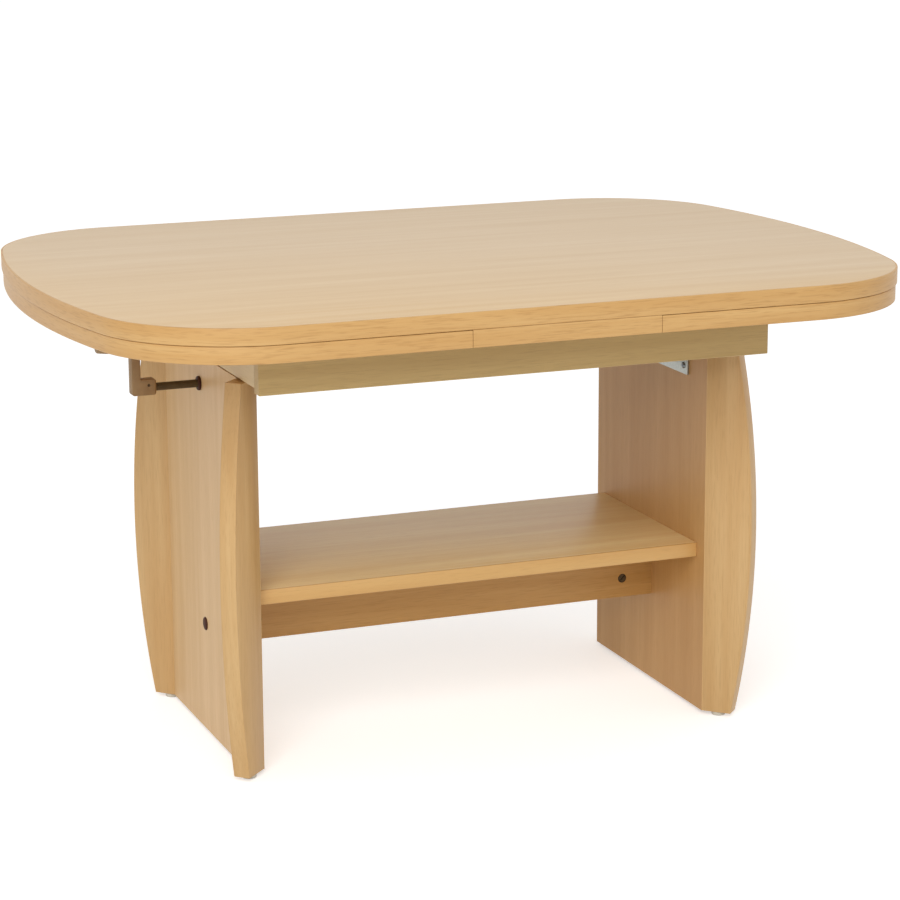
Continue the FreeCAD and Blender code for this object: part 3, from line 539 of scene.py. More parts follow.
def outline_board(name, length, low, high):
    """A solid board with the outline of the top, without its edges eased."""
    bow_x = length / 2 - END_RADIUS
    corner_y = HALF_WIDTH - CORNER_RADIUS
    corner_x = bow_x + math.sqrt((END_RADIUS - CORNER_RADIUS) ** 2 - corner_y ** 2)
    swing = math.atan2(corner_y, corner_x - bow_x)
    piece = first_corner(name, Vector((length / 2, 0, low)) * MM)
    bow, corner = Vector((bow_x, 0, low)) * MM, Vector((corner_x, corner_y, low)) * MM
    bpy.ops.mesh.spin(steps=20, angle=-swing, center=bow, axis=Z)
    bpy.ops.mesh.spin(steps=36, angle=swing - math.pi / 2, center=corner, axis=Z)
    draw_on(Vector((-corner_x, 0, 0)) * MM)
    bpy.ops.object.mode_set(mode="OBJECT")
    halves = piece.modifiers.new("other_quarters", "MIRROR")
    halves.use_axis[1] = True
    halves.merge_threshold = 0.01 * MM
    apply_all(piece)
    open_up(piece)
    fill_and_pull(Vector((0, 0, high - low)) * MM)
    return piece


def band_board(piece, axis, lips, foil=top_foil, band=band_foil):
    """Round the edges that pass a test, cut the glue lines, and give the faces across an axis the foil."""
    piece.data.materials.append(band)
    piece.data.materials.append(foil)
    open_up(piece)
    pick("EDGE", lips)
    bpy.ops.mesh.bevel(offset=LIP * MM, segments=3, affect="EDGES")
    for side in ENDS:
        pick("FACE", lambda face: face.normal.dot(axis) * side > 0.999)
        bpy.ops.mesh.inset(thickness=BAND * MM)
        bpy.ops.mesh.inset(thickness=GLUE_LINE * MM, depth=-GLUE_DEPTH * MM)
        bpy.ops.mesh.inset(thickness=GLUE_LINE * MM, depth=GLUE_DEPTH * MM)
        piece.active_material_index = 1
        bpy.ops.object.material_slot_assign()
    bpy.ops.object.mode_set(mode="OBJECT")
    return piece


def at_level(axis, *levels):
    """A test for edges that lie in a plane across an axis, at one of some levels in mm."""
    def lies(edge, level):
        return all(abs(end.co.dot(axis) - level * MM) < SAME_PLACE for end in edge.verts)

    return lambda edge: any(lies(edge, level) for level in levels)


top_board = outline_board("top_board", TOP_LENGTH, TOP_LOW, TOP_HIGH)
band_board(top_board, Z, at_level(Z, TOP_LOW, TOP_HIGH))
hand_over(top_board, None, "top", "beech_top", "table_top")

# %% [markdown]
# ## Leaves and centre board
# The layer under the top is one outline cut in three: a fixed board in the middle and a leaf at each end that
# draws out. Cutting one board by planes keeps the three outlines in line, as on the real table, where they
# are sawn from one pressing. The fixed board sits a little to the right, so the left leaf is the longer one.

# %% Cut the leaf layer in three
LEAF_LOW, LEAF_HIGH, SEAM = 558.5, 579.0, 0.6
CENTRE_LEFT, CENTRE_RIGHT = -111.5, 124.5


def saw(piece, x, keep):
    """Cut a board across X and keep one side."""
    open_up(piece)
    bpy.ops.mesh.bisect(plane_co=(x * MM, 0, 0), plane_no=X * keep, use_fill=True, clear_inner=True)
    close_up()
    return piece


for node, seam_x, keep in (("right_leaf", CENTRE_RIGHT + SEAM, 1), ("left_leaf", CENTRE_LEFT - SEAM, -1)):
    leaf = saw(outline_board(node + "_board", LEAF_LENGTH, LEAF_LOW, LEAF_HIGH), seam_x, keep)
    band_board(leaf, Z, at_level(Z, LEAF_LOW, LEAF_HIGH))
    hand_over(leaf, None, node, "beech_top", node)
centre = saw(outline_board("centre_board_banded", LEAF_LENGTH, LEAF_LOW, TOP_LOW), CENTRE_RIGHT, -1)
band_board(saw(centre, CENTRE_LEFT, 1), Z, at_level(Z, LEAF_LOW))
hand_over(centre, None, "top", "beech_top", "centre_board")

# %% [markdown]
# ## Shelf, stiles and frame boards
# The shelf is a banded board between the leg panels; its foil and band are printed paler than the other
# boards, which is painted fill light. Each leg panel carries two stiles set at 45 degrees, whose outer edge
# bows outwards
# by 24 mm over their height: an arc of 1.3 m radius, drawn with one spin. One stile is modelled and mirrored
# to four corners, because the legs are symmetric. The boards under the top are plain, with a soft arris along
# the lower edge that catches the light, and on the aprons the faces that look down, that arris among them,
# carry a paler band, which is a painted highlight. The end boards stand 5 mm back from the ends of the
# aprons, and they are notched for the runners.

# %% Shelf
PANEL_IN, PANEL_OUT, PANEL_EDGE, SHELF_SIDE = 298.0, 320.0, 166.0, 145.0
SHELF_LOW, SHELF_HIGH = 208.0, 226.5
shelf = block("shelf_banded", (-PANEL_IN, -SHELF_SIDE, SHELF_LOW), (PANEL_IN, SHELF_SIDE, SHELF_HIGH))
# The shelf's paler foil and band are painted fill light.
band_board(shelf, Z, at_level(Y, -SHELF_SIDE, SHELF_SIDE), shelf_foil_with_painted_fill_light, shelf_band_with_painted_fill_light)
hand_over(shelf, None, "base", "beech_leg", "shelf_board")

# %% Bowed stiles
STILE_LOW, STILE_HIGH, STILE_WIDTH, STILE_BOW, STILE_THICK = 5.5, 495.5, 38.5, 24.0, 22.0
half_chord = (STILE_HIGH - STILE_LOW) / 2
bow_radius = (half_chord ** 2 + STILE_BOW ** 2) / (2 * STILE_BOW)
bow_angle = 2 * math.asin(half_chord / bow_radius)
bow_centre = Vector((STILE_WIDTH + STILE_BOW - bow_radius, 0, STILE_LOW + half_chord)) * MM

stile = first_corner("stile_model", Vector((STILE_WIDTH, 0, STILE_LOW)) * MM)
bpy.ops.mesh.spin(steps=40, angle=bow_angle, center=bow_centre, axis=Y)
draw_on(Vector((-STILE_WIDTH, 0, 0)) * MM)
draw_on(Vector((0, 0, STILE_LOW - STILE_HIGH)) * MM)
draw_on(Vector((STILE_WIDTH, 0, 0)) * MM)
fill_and_pull(Vector((0, STILE_THICK, 0)) * MM)
on_a_face = at_level(Y, 0, STILE_THICK)


def clear_of_panel(edge):
    """Whether an edge bounds a face of the stile and lies off the side that meets the panel."""
    return on_a_face(edge) and max(end.co.x for end in edge.verts) > MM


band_board(stile, Y, clear_of_panel, leg_foil, leg_foil)
corner_turn = Matrix.Rotation(math.radians(-45), 4, "Z")
seat = Matrix.Translation(Vector((PANEL_IN, -PANEL_EDGE, 0)) * MM) @ corner_turn
for side_x, end_name in ((-1, "left"), (1, "right")):
    for side_y, row_name in ((1, "front"), (-1, "rear")):
        node = end_name + "_" + row_name + "_stile"
        piece = set_of(stile, node + "_bowed", [Matrix.Diagonal((side_x, side_y, 1, 1)) @ seat])
        hand_over(piece, None, "base", "beech_leg", node)
bpy.data.objects.remove(stile)

# %% Aprons and end boards
FRAME_END, FRAME_SIDE, FRAME_LOW, BOARD_THICK = 328.0, 272.0, 496.0, 19.0
for side, node in ((-1, "apron_front"), (1, "apron_rear")):
    y0, y1 = sorted((FRAME_SIDE * side, (FRAME_SIDE - BOARD_THICK) * side))
    apron = block(node + "_board", (-FRAME_END, y0, FRAME_LOW), (FRAME_END, y1, LEAF_LOW))
    apron.data.materials.append(apron_foil)
    apron.data.materials.append(apron_band_with_painted_highlight)
    soften(apron, LIP, 3)
    # Faces that look down, the lower arris among them, take the paler band: a painted highlight along the
    # lower edge.
    for face in apron.data.polygons:
        face.material_index = 1 if face.normal.z < -0.3 else 0
    hand_over(apron, None, "top", "apron_board", node)

END_FACE, END_LOW, NOTCH_HALF, NOTCH_FLOOR = 323.0, 499.0, 10.5, 528.0
# Each end by its sign, its name and how far its runners lie from the middle.
LEAF_ENDS = ((-1, "left", 146), (1, "right", 122))
inner_side = FRAME_SIDE - BOARD_THICK
for end, end_name, runner_y in LEAF_ENDS:
    node = end_name + "_end_board"
    x0, x1 = sorted((END_FACE * end, (FRAME_END - BOARD_THICK) * end))
    board = block(node + "_notched", (x0, -inner_side, END_LOW), (x1, inner_side, LEAF_LOW))
    for side in ENDS:
        low, high = runner_y * side - NOTCH_HALF, runner_y * side + NOTCH_HALF
        cut(board, block("notch", (x0 - 1, low, NOTCH_FLOOR), (x1 + 1, high, LEAF_LOW + 1)))
    hand_over(soften(board, 0.6), end_foil, "top", "apron_board", node)

# %% [markdown]
# ## Leaf runners
# Each leaf hangs on two beech runners that slide through the notches of the end boards. They are planed laths
# with broken edges, and their screws sit at the bottom of counterbores, which is cheaper than long screws.
# One lath is drilled and copied, and the left leaf's pair is the mirror image, set further apart. The laths
# stay 0.1 mm short of the leaf, so that they do not rub on the centre board when they slide under it.

# %% Runners
RUNNER_START, RUNNER_FINISH, RUNNER_LOW, SCREW_SEAT = -297.0, 440.0, 528.5, 545.0
RUNNER_HALF, RUNNER_PLAY, COUNTERBORE = 10.0, 0.1, 4.1
RUNNER_SCREWS = (138, 279, 420)
lath_low = (RUNNER_START, -RUNNER_HALF, RUNNER_LOW)
lath_high = (RUNNER_FINISH, RUNNER_HALF, LEAF_LOW - RUNNER_PLAY)
lath = soften(block("runner_model", lath_low, lath_high), 1.2)
for x in RUNNER_SCREWS:
    bore = plain_rod("counterbore", -1, SCREW_SEAT - RUNNER_LOW, COUNTERBORE, 32)
    cut(lath, moved(bore, lay(Z, (x, 0, RUNNER_LOW))))
for end, end_name, y in LEAF_ENDS:
    body = end_name + "_leaf"
    pair = [Matrix.Translation((0, y * side * MM, 0)) @ Matrix.Diagonal((end, 1, 1, 1)) for side in ENDS]
    hand_over(set_of(lath, body + "_laths", pair), planed_beech, body, "raw_beech", body + "_runners")
bpy.data.objects.remove(lath)

# %% [markdown]
# ## The crank
# At the left end a moulded arm sits on the spindle, held by a small grub screw, with a barrel grip that spins
# on an axle. The arm is a cube: its top corners are beveled to a half round, the hub is extruded from its
# lower inner face, the hub's mouth is chamfered, and the heel is rounded. The bores are cut last.

# %% Crank arm
SPINDLE_Z, GRIP_Z, CRANK_HALF = 459.0, 517.0, 8.0
ARM_OUT, ARM_IN, HUB_MOUTH, HUB_LOW, HUB_HIGH = -408.0, -397.0, -377.0, 450.5, 470.0
HEEL_RADIUS, MOUTH_CHAMFER = 3.0, 2.0
ROD_BORE, ROD_DEPTH, GRUB_BORE, AXLE_BORE = 5.05, 14.1, 1.85, 3.05
GRUB_SEAT = (-387, -CRANK_HALF, 463)

arm = block("crank_arm_moulding", (ARM_OUT, -CRANK_HALF, HUB_LOW), (ARM_IN, CRANK_HALF, GRIP_Z + CRANK_HALF))
open_up(arm)
pick("EDGE", lambda edge: all(end.co.z > GRIP_Z * MM for end in edge.verts)
     and abs(edge.verts[0].co.x - edge.verts[1].co.x) > MM)
bpy.ops.mesh.bevel(offset=(CRANK_HALF - 0.02) * MM, segments=12, affect="EDGES")
bpy.ops.mesh.select_all(action="SELECT")
bpy.ops.mesh.bisect(plane_co=(0, 0, HUB_HIGH * MM), plane_no=Z)
pick("FACE", lambda face: face.normal.x > 0.9 and face.calc_center_median().z < HUB_HIGH * MM)
bpy.ops.mesh.extrude_region_move(TRANSFORM_OT_translate={"value": ((HUB_MOUTH - ARM_IN) * MM, 0, 0)})
pick("EDGE", at_level(X, HUB_MOUTH))
bpy.ops.mesh.bevel(offset=MOUTH_CHAMFER * MM, segments=1, affect="EDGES")
on_outside, on_sole = at_level(X, ARM_OUT), at_level(Z, HUB_LOW)
pick("EDGE", lambda edge: on_outside(edge) and on_sole(edge))
bpy.ops.mesh.bevel(offset=HEEL_RADIUS * MM, segments=6, affect="EDGES")
close_up()
soften(arm, 0.7, 2, 40)
cut(arm, moved(plain_rod("rod_bore", 0, ROD_DEPTH, ROD_BORE), lay(-X, (HUB_MOUTH, 0, SPINDLE_Z))))
cut(arm, moved(plain_rod("grub_bore", -1, CRANK_HALF, GRUB_BORE), lay(Y, GRUB_SEAT)))
cut(arm, moved(plain_rod("axle_bore", -1, ARM_IN - ARM_OUT + 1, AXLE_BORE), lay(X, (ARM_OUT, 0, GRIP_Z))))
hand_over(arm, brown_abs, "crank", "brown_plastic", "crank_arm")

# %% [markdown]
# ## Grip, axle and grub screw
# Round pieces are turned from their profile, as on a lathe. The grip swells in the middle and has a shallow
# groove near each end, where a moulding tool parts. The axle ends in a low button with a hexagon socket, and
# the grub screw sits below the surface of the hub, so it shows as a dark hole.

# %% Grip and its axle
GRIP_IN, GRIP_LENGTH, GRIP_RIM, GRIP_BELLY = -408.4, 42.0, 10.5, 12.5
GRIP_GROOVES, GRIP_GROOVE_DEPTH = (0.11, 0.89), 0.5
AXLE_OUT = -453.0


def grip_radius(along):
    """Radius of the barrel at a share of its length."""
    return GRIP_RIM + (GRIP_BELLY - GRIP_RIM) * math.sin(math.pi * along)


rim_line = [(0, 3.1), (0, 9.3), (0.4, 10.1), (1.2, 10.6)]
barrel_line = []
for share in (0.08, 0.1, 0.11, 0.12, 0.2, 0.3, 0.4, 0.5, 0.6, 0.7, 0.8, 0.88, 0.89, 0.9, 0.92):
    groove = GRIP_GROOVE_DEPTH if share in GRIP_GROOVES else 0.0
    barrel_line.append((share * GRIP_LENGTH, grip_radius(share) - groove))
far_line = [(GRIP_LENGTH - x, radius) for x, radius in reversed(rim_line)]
grip_line = rim_line + barrel_line + far_line + rim_line[:1]
grip = moved(turned("crank_grip_barrel", grip_line), lay(-X, (GRIP_IN, 0, GRIP_Z)))
hand_over(grip, brown_abs, "grip", "brown_plastic", "crank_grip")

button = [(0, 0), (0, 3.6), (0.3, 4.6), (0.9, 5.3), (1.6, 5.5), (2.2, 5.5), (2.2, 3), (56, 3), (56, 0)]
axle_place = lay(X, (AXLE_OUT, 0, GRIP_Z))
axle = moved(turned("grip_axle_bolt", button), axle_place)
cut(axle, moved(plain_rod("axle_socket", -1, 1.4, 1.7, 6), axle_place))
hand_over(axle, zinc, "crank", "zinc_steel", "grip_axle")

grub_line = [(1.4, 0), (1.4, 1.5), (1.7, 1.8), (3, 1.8), (3, 0)]
grub = moved(turned("crank_grub_screw", grub_line), lay(Y, GRUB_SEAT))
hand_over(grub, black_steel, "crank", "dark_steel", "crank_set_screw")

# %% [markdown]
# ## The spindle
# The spindle is a 10 mm steel bar. Outside the panel it is plain, and inside it carries the thread that draws
# the nut along: 6 mm for each turn of the crank, on two starts. A thread could be made with a screw modifier,
# but its ends stay open. Here the bar is divided finely and its surface is pressed in along two helices, so
# it stays one closed skin, and the thread runs out softly at both ends.

# %% Spindle with its thread
ROD_RADIUS, THREAD_START, THREAD_END, THREAD_STEP = 5.0, -292.0, -210.0, 0.5
THREAD_DEPTH, THREAD_PITCH, THREAD_STARTS, RUNOUT = 0.9, 3.0, 2, 3.0
# Half the width of the groove and the width of its flank, as shares of the pitch.
GROOVE_HALF, GROOVE_FLANK = 0.36, 0.16
row_count = int((THREAD_END - THREAD_START) / THREAD_STEP) + 1
bar_line = [(-391, 0), (-391, 4.4), (-390.4, ROD_RADIUS), (-300, ROD_RADIUS)]
bar_line += [(THREAD_START + row * THREAD_STEP, ROD_RADIUS) for row in range(row_count)]
bar_line += [(-206.32, ROD_RADIUS), (-206.32, 4), (-196.6, 4), (-196.12, 3.5), (-196.12, 0)]
spindle = turned("threaded_spindle", bar_line, 40)
for corner in spindle.data.vertices:
    along = corner.co.x / MM
    if THREAD_START < along < THREAD_END:
        angle = math.atan2(corner.co.z, corner.co.y) / math.tau
        phase = ((along - THREAD_START) / THREAD_PITCH + THREAD_STARTS * angle) % 1.0
        groove = min(1.0, max(0.0, (GROOVE_HALF - abs(phase - 0.5)) / GROOVE_FLANK))
        share = min(1.0, (along - THREAD_START) / RUNOUT, (THREAD_END - along) / RUNOUT)
        scale = (ROD_RADIUS - THREAD_DEPTH * groove * share) / ROD_RADIUS
        corner.co.y *= scale
        corner.co.z *= scale
moved(spindle, Matrix.Translation((0, 0, SPINDLE_Z * MM)))
hand_over(spindle, black_steel, "crank", "dark_steel", "spindle")

bush_line = [(-323.5, 5.1), (-323.5, 8), (-322.5, 9), (-PANEL_OUT, 9), (-PANEL_OUT, 7.1), (-PANEL_IN, 7.1)]
bush_line += [(-PANEL_IN, 5.1), bush_line[0]]
bush = moved(turned("rod_bush_flanged", bush_line), Matrix.Translation((0, 0, SPINDLE_Z * MM)))
hand_over(soften(bush, 0.4), dark_plastic, "base", "dark_brown_plastic", "rod_bush")

# %% [markdown]
# ## Screws
# Four sets of pan-head screws hold the brackets, the corner blocks and the top, and two more hold the
# runners. One screw is turned and its cross recess cut with two tapered blades. It is then copied to every
# seat, because identical fasteners are one model. The length differs from set to set.

# %% One screw, many seats
HEAD_HEIGHT, HEAD_RADIUS, SHANK_RADIUS, POINT = 2.2, 4.0, 2.0, 3.0
BASE_FACE, TOP_FACE, BLOCK_X, BLOCK_Y = 295.0, 306.0, 301.8, 245.8


def pan_screw(length):
    """A pan-head screw along X whose head seats at the origin."""
    line = [(-HEAD_HEIGHT, 0), (-HEAD_HEIGHT, 2.3), (-1.95, 3.1), (-1.4, 3.7), (-0.6, HEAD_RADIUS)]
    line += [(0, HEAD_RADIUS), (0, SHANK_RADIUS), (length - POINT, SHANK_RADIUS), (length, 0)]
    model = turned("screw_model", line, 32)
    for roll in (0, math.pi / 2):
        blade = block("recess_blade", (-1.5, -0.45, -2.3), (1.5, 0.45, 2.3))
        open_up(blade)
        pick("FACE", lambda face: face.normal.x > 0.9)
        bpy.ops.transform.resize(value=(1, 0.6, 0.45), center_override=(0, 0, 0))
        bpy.ops.object.mode_set(mode="OBJECT")
        cut(model, moved(blade, lay(X, (-HEAD_HEIGHT, 0, 0), roll + math.pi / 8)))
    return model


def screw_set(name, node, body, length, seats):
    """Copies of a screw at (place, direction) pairs, in mm."""
    model = pan_screw(length)
    piece = set_of(model, name, [lay(way, place) for place, way in seats])
    bpy.data.objects.remove(model)
    # The screws' darker zinc is painted shade round their heads.
    hand_over(piece, screw_zinc_with_painted_shade, body, "zinc_steel", node)


base_seats = [((BASE_FACE * end, 105 * side, z), X * end) for end, side in CORNERS for z in (453, 481)]
screw_set("base_bracket_screw_set", "base_bracket_screws", "base", 16, base_seats)
frame_seats = [((TOP_FACE * end, 90 * side, z), X * end) for end, side in CORNERS for z in (511.25, 543.25)]
screw_set("top_bracket_screw_set", "top_bracket_screws", "top", 16, frame_seats)
top_seats = [((70 * end, y, LEAF_LOW), Z) for end in ENDS for y in (-213, 0, 213)]
screw_set("top_screw_set", "top_screws", "top", 34, top_seats)
block_seats = [((BLOCK_X * end, BLOCK_Y * side, 514.75), Y * side) for end, side in CORNERS]
block_seats += [((BLOCK_X * end, BLOCK_Y * side, 539.75), X * end) for end, side in CORNERS]
screw_set("corner_screw_set", "corner_block_screws", "top", 16, block_seats)
for end, end_name, y in LEAF_ENDS:
    body = end_name + "_leaf"
    runner_seats = [((x * end, y * side, SCREW_SEAT), Z) for side in ENDS for x in RUNNER_SCREWS]
    screw_set(body + "_runner_screw_set", body + "_runner_screws", body, 25, runner_seats)

# %% [markdown]
# ## Caps, barrel nuts and glides
# The bolts that draw the stretcher to the panels end in low domed caps outside and in barrel nuts inside,
# which show a slotted face on both sides of the stretcher. Under each stile a nylon glide keeps the board off
# the floor. All are turned once and copied.

# %% Small turned fittings
BOLT_Z, NUT_X, NUT_HALF, SLOT_DEPTH, NAIL_LENGTH = 148.0, 255.0, 9.2, 1.4, 12.0
dome = turned("cap_model", [(0, 0), (0, 8.5), (0.7, 8.5), (1.5, 7.8), (2.1, 6), (2.4, 3.4), (2.5, 0)], 40)
caps = set_of(dome, "bolt_caps", [lay(X * end, (PANEL_OUT * end, 0, BOLT_Z)) for end in ENDS])
bpy.data.objects.remove(dome)
hand_over(caps, dark_plastic, "base", "dark_brown_plastic", "bolt_cover_caps")

barrel = turned("barrel_model", both_ways([(8.6, 6), (NUT_HALF, 5.3), (NUT_HALF, 0)]), 40)
for end in ENDS:
    low, high = NUT_HALF * end - SLOT_DEPTH, NUT_HALF * end + SLOT_DEPTH
    cut(barrel, block("driver_slot", (low, -0.7, -4.8), (high, 0.7, 4.8)))
nut_seats = [lay(Y, (NUT_X * end, 0, BOLT_Z), math.pi / 4) for end in ENDS]
barrels = set_of(barrel, "slotted_barrel_nuts", nut_seats)
bpy.data.objects.remove(barrel)
hand_over(barrels, black_steel, "base", "dark_steel", "barrel_nuts")

glide_seat = seat @ (Vector((STILE_WIDTH, STILE_THICK, 0)) / 2 * MM) / MM
foot_line = [(1.2, 0), (1.2, 2.6), (0, 3.4), (0, 7.6), (0.4, 8.5), (1.2, 9), (STILE_LOW, 9), (STILE_LOW, 1.5)]
foot_line += [(STILE_LOW + NAIL_LENGTH, 1.5), (STILE_LOW + NAIL_LENGTH, 0)]
foot = turned("glide_model", foot_line, 40)
feet = [lay(Z, (glide_seat.x * end, glide_seat.y * side, 0)) for end, side in CORNERS]
glides = set_of(foot, "nylon_glides", feet)
bpy.data.objects.remove(foot)
hand_over(glides, nylon, "base", "white_nylon", "foot_glides")

# %% [markdown]
# ## Brackets of the lift
# Four brackets of 3 mm sheet carry the scissor: two on the leg panels and two on the end boards. Three are
# plates with two ears that end in a half round. A fixed pivot has a bore in them, and a sliding one a long
# slot. The left lower bracket is a cradle round the spindle nut. Plates and ears are welded with a boolean,
# then the slots are cut, and last of all every edge is broken by 0.4 mm, as on a stamped and tumbled part.

# %% Plates, ears and slots
EAR_IN, EAR_OUT, PIVOT_X, SLIDE_X, SLIDE_END = 63.0, 66.0, 262.0, -274.7, -226.62
LOWER_Z, UPPER_Z, SHEET, BROKEN_EDGE = 459.0, 519.0, 3.0, 0.4
PIVOT_BORE, ROD_SLOT, ROLLER_SLOT, PIVOT_PLAY = 5.1, 5.3, 8.6, 1.6
LOWER_EAR_HALF, UPPER_EAR_HALF = 8.5, 12.5
# Half the width, the lower and the upper edge of a plate.
BASE_PLATE, TOP_PLATE = (115, 442, 492), (100, 500.25, 554.25)


def plate(name, x0, x1, half, low, high):
    """A sheet across X."""
    return block(name, (x0, -half, low), (x1, half, high))


def round_bar(name, radius, low, high, x, z):
    """A plain round tool along Y."""
    return moved(plain_rod(name, low, high, radius, 40), lay(Y, (x, 0, z)))


def across(edge):
    """Whether an edge runs along Y."""
    return abs(edge.verts[0].co.y - edge.verts[1].co.y) > MM


def ears(root, tip, z, half):
    """Two ears along X, with half-round tips."""
    pair = []
    for side in ENDS:
        y0, y1 = sorted((EAR_IN * side, EAR_OUT * side))
        x0, x1 = sorted((root, tip))
        ear = block("ear", (x0, y0, z - half), (x1, y1, z + half))
        at_tip = at_level(X, tip)
        pair.append(round_ends(ear, lambda edge: at_tip(edge) and across(edge), half))
    return pair


def slot_tool(x0, x1, z, radius, reach, play=0.0):
    """A tool for a slot along X, with some play along Z, through everything within reach of the middle."""
    half = radius + play
    tool = block("slot_tool", (x0 - radius, -reach, z - half), (x1 + radius, reach, z + half))
    return round_ends(tool, across, radius)


base_root, top_root = BASE_FACE + SHEET / 2, TOP_FACE + SHEET / 2
bracket = plate("right_base_plate", BASE_FACE, BASE_FACE + SHEET, *BASE_PLATE)
fuse(bracket, *ears(base_root, PIVOT_X - LOWER_EAR_HALF, LOWER_Z, LOWER_EAR_HALF))
cut(bracket, round_bar("pivot_bore", PIVOT_BORE, -80, 80, PIVOT_X, LOWER_Z))
hand_over(soften(bracket, BROKEN_EDGE), zinc, "base", "zinc_steel", "right_base_bracket")

bracket = plate("right_top_plate", TOP_FACE, TOP_FACE + SHEET, *TOP_PLATE)
fuse(bracket, *ears(top_root, PIVOT_X - UPPER_EAR_HALF, UPPER_Z, UPPER_EAR_HALF))
cut(bracket, slot_tool(PIVOT_X, PIVOT_X, UPPER_Z, ROD_SLOT, 80, PIVOT_PLAY))
hand_over(soften(bracket, BROKEN_EDGE), zinc, "top", "zinc_steel", "right_top_bracket")

bracket = plate("left_top_plate", -TOP_FACE - SHEET, -TOP_FACE, *TOP_PLATE)
fuse(bracket, *ears(-top_root, -205.52, UPPER_Z, UPPER_EAR_HALF))
cut(bracket, slot_tool(SLIDE_X, SLIDE_END, UPPER_Z, ROLLER_SLOT, 80))
hand_over(soften(bracket, BROKEN_EDGE), zinc, "top", "zinc_steel", "left_top_bracket")

CRADLE_END, CRADLE_IN, CRADLE_OUT, CRADLE_LOW, CRADLE_HIGH = -202.62, 28.0, 31.0, 446.5, 471.5
cradle = plate("left_base_cradle", -BASE_FACE - SHEET, -BASE_FACE, *BASE_PLATE)
for side in ENDS:
    y0, y1 = sorted((CRADLE_IN * side, CRADLE_OUT * side))
    fuse(cradle, block("cheek", (-base_root, y0, CRADLE_LOW), (CRADLE_END + 1, y1, CRADLE_HIGH)))
fuse(cradle, plate("wall", CRADLE_END, CRADLE_END + SHEET, CRADLE_OUT, CRADLE_LOW, CRADLE_HIGH))
cut(cradle, slot_tool(SLIDE_X, SLIDE_END, LOWER_Z, ROD_SLOT, 40))
for face, radius in ((-BASE_FACE - SHEET, 6), (CRADLE_END, 6.1)):
    bore = plain_rod("spindle_way", face - 1, face + SHEET + 1, radius, 40)
    cut(cradle, moved(bore, Matrix.Translation((0, 0, LOWER_Z * MM))))
hand_over(soften(cradle, BROKEN_EDGE), zinc, "base", "zinc_steel", "left_base_bracket")

# %% [markdown]
# ## Scissor arms, rods and clips
# The two pairs of arms are flat bars with round ends, punched at both ends and in the middle. They turn on
# rods with a chamfered end and a groove for a spring clip, which is a ring with an opening. The bar is
# modelled flat, then turned by 6.4 degrees about its left pivot, the angle that the arms have when the top is
# down.

# %% Arms
ARM_HALF, ARM_THICK = 9.5, 4.0
# Each pair by its name, how far it lies from the middle, the height of its left pivot and its way of turning.
ARM_PAIRS = (("outer", 57, UPPER_Z, 1), ("inner", 51, LOWER_Z, -1))
arm_length = math.hypot(PIVOT_X - SLIDE_X, UPPER_Z - LOWER_Z)
arm_angle = math.atan2(UPPER_Z - LOWER_Z, PIVOT_X - SLIDE_X)
flat_bar = block("arm_model", (-ARM_HALF, 0, -ARM_HALF), (arm_length + ARM_HALF, ARM_THICK, ARM_HALF))
round_ends(flat_bar, across, ARM_HALF)
for x in (0, arm_length / 2, arm_length):
    cut(flat_bar, round_bar("punch", PIVOT_BORE, -1, ARM_THICK + 1, x, 0))
soften(flat_bar, 0.5)
for kind, y, start_z, turn in ARM_PAIRS:
    swing = Matrix.Translation(Vector((SLIDE_X, y, start_z)) * MM) @ Matrix.Rotation(arm_angle * turn, 4, "Y")
    for side, row in ((-1, "front"), (1, "rear")):
        node = row + "_" + kind + "_arm"
        piece = set_of(flat_bar, node + "_bar", [Matrix.Diagonal((1, side, 1, 1)) @ swing])
        hand_over(piece, zinc, kind + "_arms", "zinc_steel", node)
bpy.data.objects.remove(flat_bar)

# %% Rods and clips
ROD_REACH, GROOVE_IN, GROOVE_OUT, GROOVE_RADIUS = 69.4, 66.2, 67.4, 4.4
half_line = [(GROOVE_IN, ROD_RADIUS), (GROOVE_IN, GROOVE_RADIUS), (GROOVE_OUT, GROOVE_RADIUS)]
half_line += [(GROOVE_OUT, ROD_RADIUS), (ROD_REACH - 0.8, ROD_RADIUS), (ROD_REACH, 4.2), (ROD_REACH, 0)]
rods = (
    ("lower_right_rod", "outer_arms", PIVOT_X, LOWER_Z),
    ("upper_left_rod", "outer_arms", SLIDE_X, UPPER_Z),
    ("upper_right_rod", "inner_arms", PIVOT_X, UPPER_Z),
)
for node, body, x, z in rods:
    rod = moved(turned(node + "_grooved", both_ways(half_line)), lay(Y, (x, 0, z)))
    hand_over(rod, zinc, body, "zinc_steel", node)
CENTRE_X, CENTRE_Z = (PIVOT_X + SLIDE_X) / 2, (LOWER_Z + UPPER_Z) / 2
rivet_line = both_ways([(60.3, ROD_RADIUS), (61, 4.3), (61, 0)])
rivet = moved(turned("centre_rod_rivet", rivet_line), lay(Y, (CENTRE_X, 0, CENTRE_Z)))
hand_over(rivet, zinc, "outer_arms", "zinc_steel", "centre_rod")

clip = turned("clip_model", [(0, 4.5), (0, 7.8), (0.2, 8), (1, 8), (1.2, 7.8), (1.2, 4.5), (0, 4.5)])
cut(clip, block("clip_mouth", (-1, -3.6, -9), (2, 3.6, 0)))
places = {"outer": ((PIVOT_X, LOWER_Z), (SLIDE_X, UPPER_Z)), "inner": ((PIVOT_X, UPPER_Z),)}
for kind, spots in places.items():
    seats = [lay(Y * side, (x, GROOVE_IN * side, z)) for x, z in spots for side in ENDS]
    piece = set_of(clip, kind + "_spring_clips", seats)
    hand_over(piece, black_steel, kind + "_arms", "dark_steel", kind + "_rod_clips")
bpy.data.objects.remove(clip)

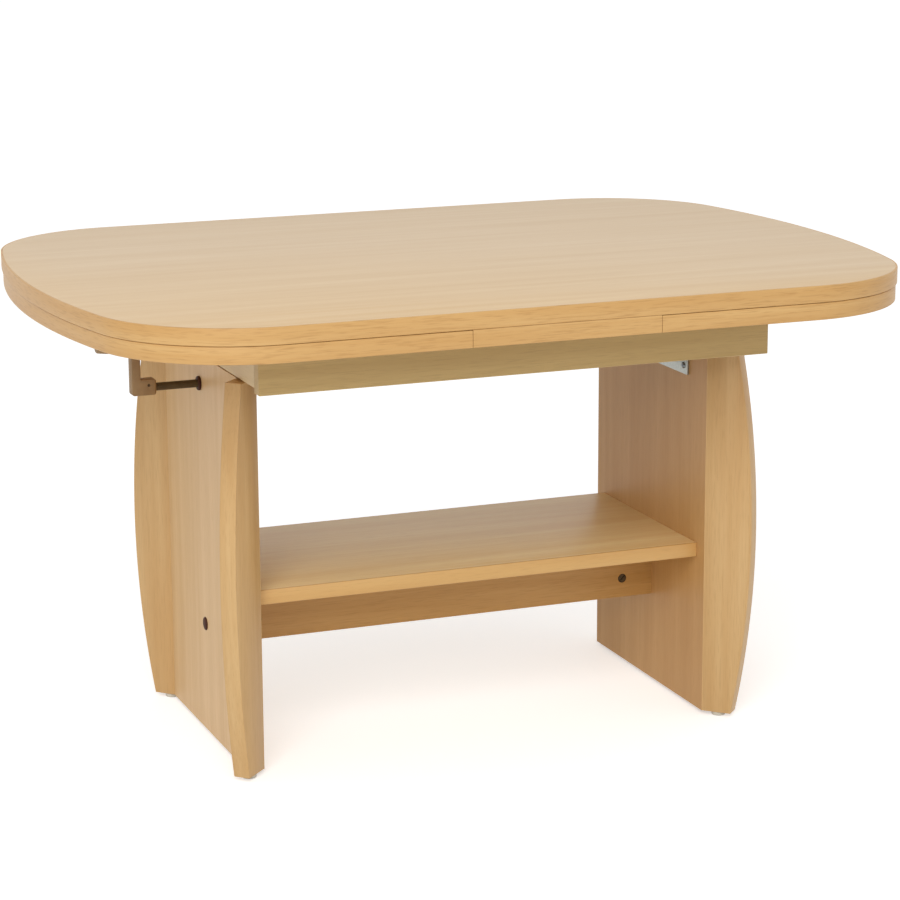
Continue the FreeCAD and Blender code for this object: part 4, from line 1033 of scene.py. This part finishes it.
# %% [markdown]
# ## Nut, washers and rollers
# The bronze nut rides on the thread, and its two trunnions push the inner arms. It is a block with broken
# edges and a chamfered bore. Nylon washers part the arms at the middle, and nylon rollers run in the upper
# slots.

# %% Nut and nylon rings
BLOCK_HALF, BLOCK_SIDE, RING_BORE = 10.0, 13.0, 5.1
nut_low = (SLIDE_X - BLOCK_HALF, -BLOCK_SIDE, LOWER_Z - BLOCK_SIDE)
nut_high = (SLIDE_X + BLOCK_HALF, BLOCK_SIDE, LOWER_Z + BLOCK_SIDE)
nut = soften(block("bronze_nut", nut_low, nut_high), 1.2, 3)
nut_way = both_ways([(9, 5.3), (11, 7.3), (11, 0)])
cut(nut, moved(turned("nut_bore", nut_way), lay(X, (SLIDE_X, 0, LOWER_Z))))
hand_over(nut, bronze, "nut", "bronze", "spindle_nut")

pin_line = [(BLOCK_SIDE, 0), (BLOCK_SIDE, ROD_RADIUS), (55.2, ROD_RADIUS), (55.2, 7.6), (55.6, 8)]
pin_line += [(56.4, 7.6), (56.4, ROD_RADIUS), (56.6, ROD_RADIUS), (57, 4.4), (57, 0)]
pin = turned("trunnion_model", pin_line)
pins = set_of(pin, "nut_trunnion_pins", [lay(Y * side, (SLIDE_X, 0, LOWER_Z)) for side in ENDS])
bpy.data.objects.remove(pin)
hand_over(pins, zinc, "nut", "zinc_steel", "nut_trunnions")


def nylon_rings(name, node, outer, low, high, x, z):
    """A softened ring on each side of the middle, round an axis along Y."""
    rim = outer - 0.4
    line = [(low, RING_BORE), (low, rim), (low + 0.3, outer), (high - 0.3, outer), (high, rim)]
    line += [(high, RING_BORE), (low, RING_BORE)]
    model = turned("ring_model", line)
    piece = set_of(model, name, [lay(Y * side, (x, 0, z)) for side in ENDS])
    bpy.data.objects.remove(model)
    hand_over(piece, nylon, "outer_arms", "white_nylon", node)


nylon_rings("nylon_washers", "arm_washers", 8, 55, 57, CENTRE_X, CENTRE_Z)
nylon_rings("nylon_rollers", "slot_rollers", 7, 62, 66, SLIDE_X, UPPER_Z)

end_line = [(-206.12, 4.1), (-206.12, 8.4), (-205.6, 9), (CRADLE_END, 9), (CRADLE_END, 6.1)]
end_line += [(CRADLE_END + SHEET, 6.1), (CRADLE_END + SHEET, 4.1), end_line[0]]
end_bush = moved(turned("spindle_end_ring", end_line), Matrix.Translation((0, 0, LOWER_Z * MM)))
hand_over(end_bush, nylon, "base", "white_nylon", "spindle_end_bush")
